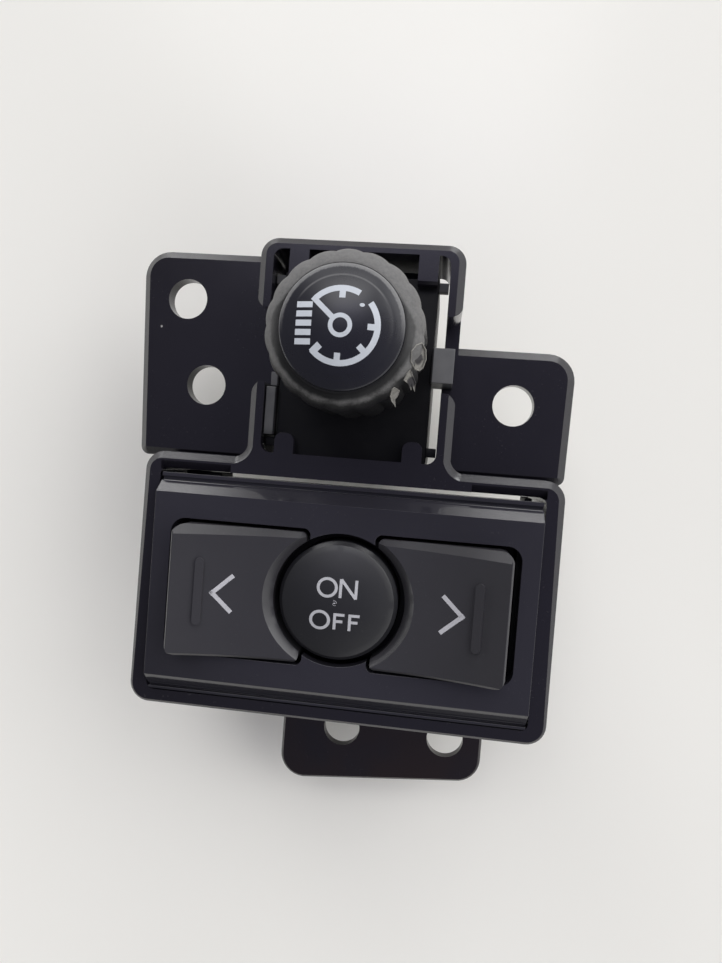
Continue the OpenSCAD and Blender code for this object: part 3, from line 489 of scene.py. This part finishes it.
FLAT_ANGLE, EDGE_ANGLE = 0.6, 28
EDGE_SEGMENTS = 3
FACE_WEIGHT = 60
print("finishes:", len(FINISHES), "edges to round:", sorted(EDGE_WIDTHS))

# %% Dress the nodes and round their edges


def dress(name, material):
    node = nodes[name]
    node.data.materials.clear()
    node.data.materials.append(material)
    for polygon in node.data.polygons:
        polygon.use_smooth = name in EDGE_WIDTHS


def soften(name, width):
    node = nodes[name]
    weld = node.modifiers.new("weld", "WELD")
    weld.merge_threshold = WELD_WITHIN * MM
    flats = node.modifiers.new("flats", "DECIMATE")
    flats.decimate_type = "DISSOLVE"
    flats.angle_limit = math.radians(FLAT_ANGLE)
    bevel = node.modifiers.new("edges", "BEVEL")
    bevel.width = width * MM
    bevel.segments = EDGE_SEGMENTS
    bevel.limit_method = "ANGLE"
    bevel.angle_limit = math.radians(EDGE_ANGLE)
    bevel.miter_outer = "MITER_ARC"
    normals = node.modifiers.new("normals", "WEIGHTED_NORMAL")
    normals.keep_sharp = False
    normals.weight = FACE_WEIGHT


for name, material in FINISHES.items():
    dress(name, material)
for name, width in EDGE_WIDTHS.items():
    soften(name, width)
print("dressed and softened")

# %% [markdown]
# ## Tools for new pieces
# A few small tools cover everything that is modelled here. `choose` selects vertices by where they are.
# `chain` turns one vertex into a row of vertices by extruding it from place to place, as a pen draws a
# line. `turned` spins such a line about an upright axis, which is how every round moulding starts, and
# `close_up` merges the seams, turns the faces outwards and gives the piece its finish. `arc_points` gives
# the places on a rounding.

# %% Select by place, draw a chain, spin it and close it
SEAM = 0.001


def choose(test):
    """Select the vertices of the piece in edit mode whose place passes the test."""
    bpy.ops.mesh.select_all(action="DESELECT")
    grid = bmesh.from_edit_mesh(bpy.context.object.data)
    for vertex in grid.verts:
        vertex.select_set(bool(test(vertex.co)))
    grid.select_flush_mode()
    bmesh.update_edit_mesh(bpy.context.object.data)


def chain(name, places):
    """Start a piece as a row of vertices through places in mm; it stays in edit mode."""
    bpy.ops.object.select_all(action="DESELECT")
    bpy.ops.mesh.primitive_plane_add(size=MM, location=(0, 0, 0))
    bpy.context.object.name = name
    bpy.ops.object.mode_set(mode="EDIT")
    bpy.ops.mesh.select_mode(type="VERT")
    bpy.ops.mesh.select_all(action="SELECT")
    bpy.ops.mesh.merge(type="CENTER")
    places = [Vector(place) * MM for place in places]
    bpy.ops.transform.translate(value=places[0])
    for here, there in zip(places, places[1:]):
        bpy.ops.mesh.extrude_region_move(TRANSFORM_OT_translate={"value": there - here})
    return bpy.context.object


def merge_seams():
    bpy.ops.mesh.select_all(action="SELECT")
    bpy.ops.mesh.remove_doubles(threshold=SEAM * MM)


def turned(name, profile, steps, centre):
    """Spin a profile of (radius, height) in mm about the upright axis at centre; stays in edit mode."""
    x, y = centre.x / MM, centre.y / MM
    piece = chain(name, [(x + radius, y, height) for radius, height in profile])
    bpy.ops.mesh.select_all(action="SELECT")
    bpy.ops.mesh.spin(steps=steps, angle=2 * math.pi, center=(centre.x, centre.y, 0), axis=(0, 0, 1),
                      use_auto_merge=True)
    merge_seams()
    return piece


def close_up(piece, material, smooth_angle=None):
    """Merge the seams, point the faces outwards, leave edit mode and give the piece its finish."""
    merge_seams()
    bpy.ops.mesh.normals_make_consistent(inside=False)
    bpy.ops.object.mode_set(mode="OBJECT")
    if smooth_angle:
        bpy.ops.object.shade_smooth_by_angle(angle=math.radians(smooth_angle))
    piece.data.materials.append(material)
    return piece


def arc_points(radius, height, round_r, first, last, count):
    """Points (radius, height) on a rounding; 0 degrees points outwards and 90 upwards."""
    angles = [math.radians(first + (last - first) * i / (count - 1)) for i in range(count)]
    return [(radius + round_r * math.cos(a), height + round_r * math.sin(a)) for a in angles]


print("modelling tools ready")

# %% [markdown]
# ## The knob's grip
# On the real object the knob is a hollow black moulding with eighteen shallow lobes. Its front rolls in
# over a wide radius until it meets the lens. A maker turns the mould's core and mills the lobes into the
# cavity, so the lobes run out where the front rolls in. Here the profile is spun the same way. Then the
# upright lines of vertices are drawn in group by group, deepest between two lobes, and less and less over
# the rolled front. The outline is written in short lines. `BACK_EDGE` and `SIDE` start from the outer radius:
# how far in, and how far above the back or below the crest, where the front starts to roll in. `LIP` starts
# from the mouth: how far out, and how far below the lens's edge.

# %% The curve that the lens and the grip share
DOME_RISE = 1.3
LENS_SINK = 0.02


def lens_height(radius):
    """Height of the lens in mm at a distance from the knob's axis."""
    edge = lens_radius / MM
    dome = (edge * edge + DOME_RISE * DOME_RISE) / (2 * DOME_RISE)
    return lens_high.z / MM - LENS_SINK - dome + math.sqrt(dome * dome - radius * radius)


rim_height = lens_height(lens_radius / MM)
print(f"lens {lens_height(0):.2f} mm high in the middle and {rim_height:.2f} mm at its edge")

# %% The outline of the grip's wall
GRIP_ROUND = 2.9
ROUND_ABOVE_CREST = 0.985
FRONT_STEPS = 9
FRONT_SWEEP = 73
WALL, BACK_RISE = 0.72, 0.3
SHELF, SHELF_STEP = 0.7, 0.2
BACK_EDGE = [(0.3, 0.02), (0.02, 0.35)]
SIDE = [(0.01, 6), (0, 2.5), (0, 1)]
LIP = [(0.25, 0.05), (0.03, 0), (0, 0.03)]
grip_outer = knob_radius / MM
grip_crest = knob_high.z / MM - GRIP_ROUND * ROUND_ABOVE_CREST


def grip_profile(low, mouth):
    """The front arc, and the closed outline of the grip's wall round it."""
    inside, shelf, rim = grip_outer - WALL, grip_crest + SHELF, lens_height(mouth)
    front = arc_points(grip_outer - GRIP_ROUND, grip_crest, GRIP_ROUND, 0, FRONT_SWEEP, FRONT_STEPS + 1)
    outline = [(inside, low + BACK_RISE)]
    outline += [(grip_outer - inwards, low + above) for inwards, above in BACK_EDGE]
    outline += [(grip_outer - inwards, grip_crest - below) for inwards, below in SIDE]
    outline += front + [(mouth + outwards, rim - below) for outwards, below in LIP]
    outline += [(mouth, shelf), (inside, shelf - SHELF_STEP), (inside, low + BACK_RISE)]
    return front, outline


print(f"the grip's front rolls in from {grip_crest:.2f} mm up")

# %% Spin the grip and press the lobes into it
LOBES = 18
LINES_PER_LOBE = 10
LOBE_DEPTH = 0.45
LOBE_HOLLOW, LOBE_FADE = 1.3, 1.5
SIDE_LOBES, CREST_LOBES = 0.8, 0.5
SIDE_REACH, FRONT_REACH = 0.6, 3.0
SIDE_TOP = 2
ROW = 0.01
LENS_GAP = 0.02
GRIP_SMOOTH = 40


def press_lobes(bottom, top, depth, reach):
    """Draw in the outer vertices between two heights, deepest on the line between two lobes."""
    turn = 2 * math.pi / (LOBES * LINES_PER_LOBE)
    for step in range(LINES_PER_LOBE // 2):

        def on_line(place):
            off = place - knob_axis
            line = round(math.atan2(off.y, off.x) / turn) % LINES_PER_LOBE
            outside = math.hypot(off.x, off.y) > (grip_outer - reach) * MM
            return outside and bottom * MM <= place.z <= top * MM and line in (step, LINES_PER_LOBE - step)

        choose(on_line)
        hollow = (1 - math.sin(math.pi * step / LINES_PER_LOBE)) ** LOBE_HOLLOW
        factor = 1 - depth * hollow / grip_outer
        bpy.ops.transform.resize(value=(factor, factor, 1), center_override=(knob_axis.x, knob_axis.y, 0))


def press_row(height, depth, reach):
    press_lobes(height - ROW, height + ROW, depth, reach)


def knob_grip():
    low = knob_low.z / MM
    front, outline = grip_profile(low, lens_radius / MM + LENS_GAP)
    piece = turned("grip", outline, LOBES * LINES_PER_LOBE, knob_axis)
    press_lobes(low, grip_crest - SIDE_TOP, LOBE_DEPTH, SIDE_REACH)
    press_row(grip_crest - SIDE[-1][1], LOBE_DEPTH * SIDE_LOBES, SIDE_REACH)
    for i, (_, height) in enumerate(front):
        fade = math.cos(math.radians(FRONT_SWEEP * i / FRONT_STEPS)) ** LOBE_FADE
        press_row(height, LOBE_DEPTH * CREST_LOBES * fade, FRONT_REACH)
    return close_up(piece, grip_grey, GRIP_SMOOTH)


grip = knob_grip()
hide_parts("knob_grip")
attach(grip, "knob")
print("grip:", len(grip.data.polygons), "faces")

# %% [markdown]
# ## The torn skin
# At the lower right of the knob the soft coating has come loose. Three flakes of it still hang there: a
# broad flap with a dent in it, a pointed one below, and a thin strip. Their backs and edges are pale, and
# where they bend in, shade is painted on them, as dark as the gap below. Each flake starts as a closed line
# on the curve of the grip's front. It is filled, its middle is inset and pushed in, and a Solidify gives it
# the thickness of the skin. All places are beside the knob's axis.

# %% Skin colour, with painted shade in the dents
FLAKE_DENTS = [(9.3, -2.9, 16.6), (8.5, -5.5, 16.0)]
DENT_STEP, DENT_RAGGED = (0.9, 0.55), 0.5
SKIN_GRAIN = (2600, 4.0, 0.7)
SKIN_PALE = rgb(0.11, 0.105, 0.10), rgb(0.33, 0.32, 0.29)
DENT_SHADE = rgb(0.035, 0.033, 0.036)


def torn_skin():
    finish = Finish("torn_skin", IOR=1.4)
    dents = [finish.distance(knob_axis + Vector(place) * MM) for place in FLAKE_DENTS]
    nearest = finish.calc("MINIMUM", *dents)
    rough = finish.noise(*SKIN_GRAIN)
    # Painted shade where the flakes bend in.
    inner = finish.between_mm(nearest + (rough - 0.5) * (DENT_RAGGED * MM), *DENT_STEP)
    colour = finish.mix(inner, finish.mix(rough, *SKIN_PALE), DENT_SHADE)
    finish.set(Base_Color=colour, Roughness=0.45 + rough * 0.2)
    return finish.material


skin_pale = torn_skin()
print("skin colour ready")

# %% Fill the flakes
SKIN = 0.12
SKIN_LIFT, OVERHANG, DROOP = 0.14, 0.2, 0.9
FLAKE_RIM = 0.16
DENT_LEFT, DENT_UP = 0.4, 0.3
FLAP = [(8.3, -2.2), (8.8, -1.4), (9.4, -1.0), (9.9, -1.7), (10.0, -2.8), (9.7, -3.8), (9.3, -4.2),
        (8.8, -4.1), (8.3, -3.4)]
POINTED = [(7.6, -5.5), (7.9, -4.8), (8.3, -4.2), (8.7, -5.0), (9.0, -5.6), (8.9, -6.6), (8.6, -6.0),
           (8.5, -6.5), (8.1, -5.8)]
STRIP = [(6.3, -6.7), (6.6, -6.4), (7.2, -6.7), (7.0, -7.3), (6.7, -7.7), (6.8, -8.6), (6.3, -8.0),
         (6.1, -7.4)]


def skin_height(radius):
    """Height in mm at which a flake lies on the grip's front, or hangs over its side."""
    inside = min(radius, grip_outer - OVERHANG)
    curve = math.sqrt(GRIP_ROUND ** 2 - (inside - grip_outer + GRIP_ROUND) ** 2)
    return grip_crest + curve + SKIN_LIFT - (radius - inside) * DROOP


def flake(name, outline, dent):
    """One flake through places in mm beside the knob's axis, with its middle pushed in."""
    x, y = knob_axis.x / MM, knob_axis.y / MM
    piece = chain(name, [(x + dx, y + dy, skin_height(math.hypot(dx, dy))) for dx, dy in outline])
    bpy.ops.mesh.select_all(action="SELECT")
    bpy.ops.mesh.edge_face_add()
    bpy.ops.mesh.select_mode(type="FACE")
    bpy.ops.mesh.select_all(action="SELECT")
    bpy.ops.mesh.inset(thickness=FLAKE_RIM * MM)
    bpy.ops.transform.translate(value=(-dent * DENT_LEFT * MM, dent * DENT_UP * MM, -dent * MM))
    bpy.ops.mesh.select_all(action="SELECT")
    bpy.ops.mesh.quads_convert_to_tris(ngon_method="BEAUTY")
    close_up(piece, skin_pale)
    skin = piece.modifiers.new("skin", "SOLIDIFY")
    skin.thickness = SKIN * MM
    skin.offset = 0
    bpy.ops.object.modifier_apply(modifier="skin")
    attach(piece, "knob")
    return piece


flakes = [flake("torn_flap", FLAP, 0.3), flake("torn_point", POINTED, 0.15), flake("torn_strip", STRIP, 0.05)]
print("flakes:", [len(piece.data.polygons) for piece in flakes])

# %% [markdown]
# ## The lens
# The lens is a shallow dome of smoked plastic that carries on the curve of the grip. It doesn't turn with
# the knob, because the pictogram has to stay upright. Near its edge a fine ring is turned into it, and
# outside this ring its upper half is dull and carries a painted highlight, so that its border can hardly be
# seen there. The dome's radius follows from its height and its width.

# %% Spin the lens with its fine ring
RING = 1.35
RING_WIDTH = 0.12
RING_DEPTH = 0.008
RING_TO_BAND = 0.6
LENS_SKIRT, LENS_ROUND = 0.05, 0.03
EDGE_ROWS = (0.04, 0.25)
DOME_STEPS = 14
LENS_STEPS = 128
LENS_SMOOTH = 50


def knob_lens():
    edge = lens_radius / MM
    ring = edge - RING
    skirt = [lens_low.z / MM + LENS_SKIRT, lens_height(edge) - LENS_ROUND]
    profile = [(edge - LENS_GAP, height) for height in skirt]
    band = [edge - inwards for inwards in EDGE_ROWS] + [ring + RING_TO_BAND, ring + RING_WIDTH]
    profile += [(radius, lens_height(radius)) for radius in band]
    profile.append((ring, lens_height(ring) - RING_DEPTH))
    dome = [(ring - RING_WIDTH) * (1 - i / DOME_STEPS) for i in range(DOME_STEPS + 1)]
    profile += [(radius, lens_height(radius)) for radius in dome]
    piece = turned("lens", profile, LENS_STEPS, knob_axis)
    return close_up(piece, lens_black, LENS_SMOOTH)


lens = knob_lens()
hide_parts("knob_cap")
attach(lens, "holder")
print("lens:", len(lens.data.polygons), "faces")

# %% [markdown]
# ## Printed legends
# The arrows, the words and the pictogram are pale ink, two hundredths of a millimetre above the plastic.
# Each sign is built from straight strokes and arcs, like the lines of the original artwork. A stroke
# is a stretched plane and an arc is a spun edge. They are drawn flat, well above the part. The finished
# sign is then laid onto the curved surface below it with a Shrinkwrap, just as a printing pad presses the
# ink on. The subdivisions of a stroke let it follow the curve.

# %% Strokes and arcs
INK = 0.02
DRAWN_AT = 70
ARC_ROWS = 3
ARC_STEP, ARC_STEPS_MIN = 4, 8


def stroke(start, end, width, cuts=5):
    """A straight stroke between two places in mm."""
    start, end = Vector(start), Vector(end)
    along = end - start
    bpy.ops.object.select_all(action="DESELECT")
    middle = (start + end) / 2 * MM
    bpy.ops.mesh.primitive_plane_add(size=1, location=(middle.x, middle.y, DRAWN_AT * MM),
                                     rotation=(0, 0, math.atan2(along.y, along.x)))
    piece = bpy.context.object
    piece.scale = (along.length * MM, width * MM, 1)
    bpy.ops.object.transform_apply(location=True, rotation=True, scale=True)
    bpy.ops.object.mode_set(mode="EDIT")
    bpy.ops.mesh.select_all(action="SELECT")
    bpy.ops.mesh.subdivide(number_cuts=cuts)
    bpy.ops.object.mode_set(mode="OBJECT")
    return piece


def arc(centre, inner, outer, first, last, stretch=1.0):
    """A curved stroke between two angles in degrees; stretch flattens it in height."""
    turn = math.radians(first)
    across = Vector((math.cos(turn), math.sin(turn), 0))
    middle = Vector((centre[0], centre[1], 0))
    radii = [inner + (outer - inner) * i / ARC_ROWS for i in range(ARC_ROWS + 1)]
    piece = chain("arc", [middle + across * radius + Vector((0, 0, DRAWN_AT)) for radius in radii])
    bpy.ops.mesh.select_all(action="SELECT")
    steps = max(ARC_STEPS_MIN, int(abs(last - first) / ARC_STEP))
    bpy.ops.mesh.spin(steps=steps, angle=math.radians(first - last), center=middle * MM, axis=(0, 0, 1))
    merge_seams()
    bpy.ops.transform.resize(value=(1, stretch, 1), center_override=middle * MM)
    bpy.ops.object.mode_set(mode="OBJECT")
    return piece


print("strokes and arcs ready")

# %% Print a sign


def join_strokes(name, parts):
    """One piece of all strokes, with every face upwards."""
    bpy.ops.object.select_all(action="DESELECT")
    for part in parts:
        part.select_set(True)
    bpy.context.view_layer.objects.active = parts[0]
    bpy.ops.object.join()
    sign = bpy.context.object
    sign.name = name
    bpy.ops.object.mode_set(mode="EDIT")
    bpy.ops.mesh.select_all(action="SELECT")
    bpy.ops.mesh.normals_make_consistent(inside=False)
    bpy.ops.object.mode_set(mode="OBJECT")
    for polygon in sign.data.polygons:
        if polygon.normal.z < 0:
            polygon.flip()
    return sign


def print_sign(name, parts, surface, body, material):
    """Join the strokes and lay them onto the surface below."""
    sign = join_strokes(name, parts)
    wrap = sign.modifiers.new("pad", "SHRINKWRAP")
    wrap.target = surface
    wrap.wrap_method = "PROJECT"
    wrap.use_project_z = True
    wrap.use_positive_direction = False
    wrap.use_negative_direction = True
    wrap.offset = INK * MM
    bpy.ops.object.modifier_apply(modifier="pad")
    sign.data.materials.clear()
    sign.data.materials.append(material)
    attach(sign, body)
    heights = [vertex.co.z / MM for vertex in sign.data.vertices]
    print(f"{name}: {len(sign.data.polygons)} faces, z {min(heights):.2f} to {max(heights):.2f} mm")


print("printing tools ready")

# %% Ink
THIN_INK, THIN_STEP = (2200, 3.0), (0.62, 0.75)
INK_SHADES, INK_DARK, INK_LIGHT = (700, 2.0), 0.9, 1.08
BARE_PLASTIC = rgb(0.03, 0.03, 0.034)


def ink(name, colour, wear):
    """Pale ink, slightly uneven, and the wear lets the plastic through."""
    finish = Finish(name, IOR=1.4)
    thin = finish.between(finish.noise(*THIN_INK), *THIN_STEP) * wear
    shade = finish.noise(*INK_SHADES)
    pale = finish.mix(shade, tinted(colour, INK_DARK), tinted(colour, INK_LIGHT))
    finish.set(Base_Color=finish.mix(thin, pale, BARE_PLASTIC), Roughness=0.5 + shade * 0.1)
    return finish.material


key_ink = ink("key_ink", (0.48, 0.475, 0.51), 0.3)
button_ink = ink("button_ink", (0.46, 0.46, 0.49), 0.25)
icon_ink = ink("icon_ink", (0.54, 0.57, 0.62), 0.1)
print("inks ready")

# %% [markdown]
# ## The gauge pictogram
# The sign on the lens means instrument lighting: a gauge with its needle, and a ladder of five bars for
# the brightness. The scale runs three quarters of the way round and has five inward ticks. At the upper
# right a fingertip has rubbed the print away, so the scale has a gap there, and only a dot is left of its
# tick. Angles are in degrees, and 0 points to the right.

# %% Draw the gauge on the lens
SCALE_IN, SCALE_OUT = 3.95, 4.65
SCALE_END, GAP_FROM, GAP_TO = -137, 40, 62
HUB_IN, HUB_OUT = 0.87, 1.4
NEEDLE_ANGLE, NEEDLE_W, NEEDLE_SHORT = 138, 0.62, 0.02
TICK_ANGLES = (90, 0, -44, -92)
TICK_IN, TICK_W = 3.15, 0.72
LAST_TICK_ANGLE, LAST_TICK_IN, LAST_TICK_W = -134, 3.2, 0.85
OVERLAP = 0.1
DOT_HOLE = 0.02
DOT_ANGLE, DOT_AWAY, DOT_RADIUS, DOT_STRETCH = 46, 3.4, 0.3, 0.7
BARS, BAR_TOP, BAR_PITCH = 5, 2.2, 1.065
BAR_FAR, BAR_NEAR, BAR_RISE, BAR_W = 5.28, 3.38, 0.03, 0.7


def on_lens(angle, radius):
    """A place in mm at an angle in degrees and a radius from the knob's axis."""
    turn = math.radians(angle)
    return Vector((knob_axis.x / MM + radius * math.cos(turn), knob_axis.y / MM + radius * math.sin(turn), 0))


def tick(angle, start, end, width):
    return stroke(on_lens(angle, start), on_lens(angle, end), width)


def gauge():
    centre = knob_axis.to_2d() / MM
    parts = [
        arc(centre, HUB_IN, HUB_OUT, 0, 360),
        arc(centre, SCALE_IN, SCALE_OUT, GAP_TO, NEEDLE_ANGLE),
        arc(centre, SCALE_IN, SCALE_OUT, SCALE_END, GAP_FROM),
        tick(NEEDLE_ANGLE, HUB_OUT - OVERLAP, SCALE_OUT - NEEDLE_SHORT, NEEDLE_W),
    ]
    for angle in TICK_ANGLES:
        parts.append(tick(angle, TICK_IN, SCALE_IN + OVERLAP, TICK_W))
    parts.append(tick(LAST_TICK_ANGLE, LAST_TICK_IN, SCALE_OUT - OVERLAP, LAST_TICK_W))
    parts.append(arc(on_lens(DOT_ANGLE, DOT_AWAY), DOT_HOLE, DOT_RADIUS, 0, 360, DOT_STRETCH))
    for i in range(BARS):
        y = centre.y + BAR_TOP - BAR_PITCH * i
        parts.append(stroke((centre.x - BAR_FAR, y, 0), (centre.x - BAR_NEAR, y + BAR_RISE, 0), BAR_W))
    print_sign("gauge_print", parts, lens, "holder", icon_ink)


gauge()

# %% [markdown]
# ## The words and the arrows
# ON stands above OFF on the round button, in plain capitals without serifs: the O is a ring, the other
# letters are straight strokes. Between the words a small curl is left where the ink was nicked. The arrows
# on the keys point outwards. The button's sign goes down with the button, and each arrow tilts with its key.
# A ring or a curl is written as its centre, its two radii, its two angles and its stretch.

# %% Write on the button
LETTER_W, LETTER_CUTS = 0.4, 2
UPPER_O = ((-1.47, 1.98), 1.07, 1.49, 0, 360, 0.95)
LOWER_O = ((-2.22, -2.63), 1.06, 1.49, 0, 360, 0.93)
LETTER_N = [((0.42, 0.68), (0.42, 3.28)), ((0.44, 3.26), (2.6, 0.70)), ((2.58, 0.66), (2.58, 3.26))]
FIRST_F, SECOND_F = (-0.12, -3.8, -1.49), (1.98, -3.84, -1.49)
UPPER_ARM, LOWER_ARM, ARM_DROP = 1.35, 1.12, 0.94
CURL = [((-0.30, -0.12), DOT_HOLE, 0.15, 0, 360, 0.6), ((-0.33, -0.05), 0.27, 0.34, -20, 120, 0.9),
        ((-0.24, -0.22), 0.25, 0.31, 170, 300, 0.8)]


def stem(start, end):
    return stroke((*start, 0), (*end, 0), LETTER_W, LETTER_CUTS)


def letter_f(x, low, top):
    arm = top - LETTER_W / 2
    middle = arm - ARM_DROP
    lines = [((x, low), (x, top)), ((x, arm), (x + UPPER_ARM, arm)), ((x, middle), (x + LOWER_ARM, middle))]
    return [stem(start, end) for start, end in lines]


def words():
    parts = [arc(*UPPER_O)] + [stem(start, end) for start, end in LETTER_N] + [arc(*LOWER_O)]
    parts += letter_f(*FIRST_F) + letter_f(*SECOND_F) + [arc(*curve) for curve in CURL]
    print_sign("button_print", parts, nodes["on_off_button"], "button", button_ink)


words()

# %% Draw the arrows on the keys
ARROW_W, ARROW_CUTS = 0.6, 8
MITRE = 0.33


def arrow(name, tip, ends, key):
    """Two strokes that run on past the tip until their outer edges meet."""
    parts = []
    for end in ends:
        past = (Vector(tip) - Vector(end)).normalized() * MITRE
        parts.append(stroke((*end, 0), (*(Vector(tip) + past), 0), ARROW_W, ARROW_CUTS))
    print_sign(name, parts, nodes[key], key, key_ink)


arrow("left_arrow", (-17.5, -0.17), [(-14.75, 2.42), (-14.8, -2.8)], "left_key")
arrow("right_arrow", (17.25, -0.13), [(14.5, 2.4), (14.42, -2.72)], "right_key")

# %% [markdown]
# ## The table and the light
# The switch lies on a white table, and the windows are beyond the knob and at its right. A plain pale floor
# carries the shadow. The walls are dim, and overhead it is dark, because the photographer leans over the
# table. So the flat faces stay black, and every edge and bevel that leans towards a window shines. Between
# the two low strips stands a dark pier, which is why the plate's upper bevel is bright only at its ends.
# A ceiling lamp beyond the knob gives the rounded tops their glow, and what comes from straight overhead
# is a little bluer, as it is on the flat faces of the real part.

# %% Floor
FLOOR_SIZE = 3000
FLOOR_LUMPS = (9, 4.0)
TABLE_WHITE = rgb(0.87, 0.855, 0.81), rgb(0.91, 0.895, 0.855)


def add_floor():
    bpy.ops.object.select_all(action="DESELECT")
    bpy.ops.mesh.primitive_plane_add(size=FLOOR_SIZE * MM, location=(0, 0, 0))
    floor = bpy.context.object
    floor.name = "floor"
    finish = Finish("table_white", Roughness=0.22, IOR=1.35)
    finish.set(Base_Color=finish.mix(finish.noise(*FLOOR_LUMPS), *TABLE_WHITE))
    floor.data.materials.append(finish.material)
    return floor


floor = add_floor()
print("floor", floor.dimensions[:])

# %% [markdown]
# ## The room
# Area lamps would show as hard panels in the glossy plastic, so the room is painted on the sky. Each light
# is a soft-edged field of it, given by its brightness, its azimuths and its elevations in degrees. An
# azimuth of 0 is to the right, and 90 is beyond the knob. The fields are added up to one strength, which
# mixes black with the brightest white.

# %% The lights of the room
LIGHTS = {
    "walls": (0.16, (-180, 180), (-12, 58)),
    "ceiling": (0.2, (-180, 180), (64, 82)),
    "photographer": (0.09, (-180, 180), (82, 90)),
    "strip_right": (7.9, (62, 87), (4, 18)),
    "strip_left": (8.8, (107, 128), (4, 18)),
    "low_left": (3.1, (130, 210), (-8, 10)),
    "low_right": (1.2, (-30, 61), (-8, 14)),
    "window": (1.25, (60, 130), (20, 50)),
    "window_right": (2.9, (8, 60), (16, 56)),
    "ceiling_lamp": (3.9, (74, 126), (50, 68)),
    "side_window": (1.35, (-45, 8), (18, 50)),
    "near_lamp": (0.95, (270, 318), (20, 50)),
}
BRIGHTEST = 10.0
SOFT_TURN, SOFT_RISE = 3.5, 0.04
PAST_TOP = 0.001
COOL = (0.92, 0.90, 1.25)
COOL_FROM, COOL_TO = 0.88, 0.94
print("lights:", ", ".join(LIGHTS))

# %% Paint the sky


def field(net, azimuth, up, azimuths, elevations):
    """A mask that is 1 between two azimuths and two elevations."""
    first, last = [math.radians(angle) for angle in azimuths]
    low, high = [math.sin(math.radians(angle)) for angle in elevations]
    middle, half, soft = (first + last) / 2, (last - first) / 2, math.radians(SOFT_TURN)
    high = high + PAST_TOP
    aside = net.calc("ABSOLUTE", net.calc("WRAP", azimuth - middle, math.pi, -math.pi))
    mask = net.between(aside, half + soft, half - soft)
    mask = mask * net.between(up, low - SOFT_RISE, low + SOFT_RISE)
    return mask * net.between(up, high + SOFT_RISE, high - SOFT_RISE)


def add_room():
    world = bpy.data.worlds.new("room")
    bpy.context.scene.world = world
    world.use_nodes = True
    net = Net(world.node_tree)
    across, along, up = net.split(net.add("TexCoord", out="Generated"))
    azimuth = net.calc("ARCTAN2", along, across)
    total = 0.0
    for brightness, azimuths, elevations in LIGHTS.values():
        total = total + field(net, azimuth, up, azimuths, elevations) * brightness
    overhead = net.between(up, COOL_FROM, COOL_TO)
    full = net.mix(overhead, rgb(*[BRIGHTEST] * 3), rgb(*[BRIGHTEST * part for part in COOL]))
    background = world.node_tree.nodes["Background"]
    net.feed(background.inputs["Color"], net.mix(total * (1 / BRIGHTEST), rgb(0, 0, 0), full))
    background.inputs["Strength"].default_value = 1.0


add_room()
bpy.context.scene.view_settings.view_transform = "Standard"
print("light set")

# %% [markdown]
# ## The end
# Nothing more is built here. The dressed model has to stay inside the imported one.

# %% Finish
print("scene ready")
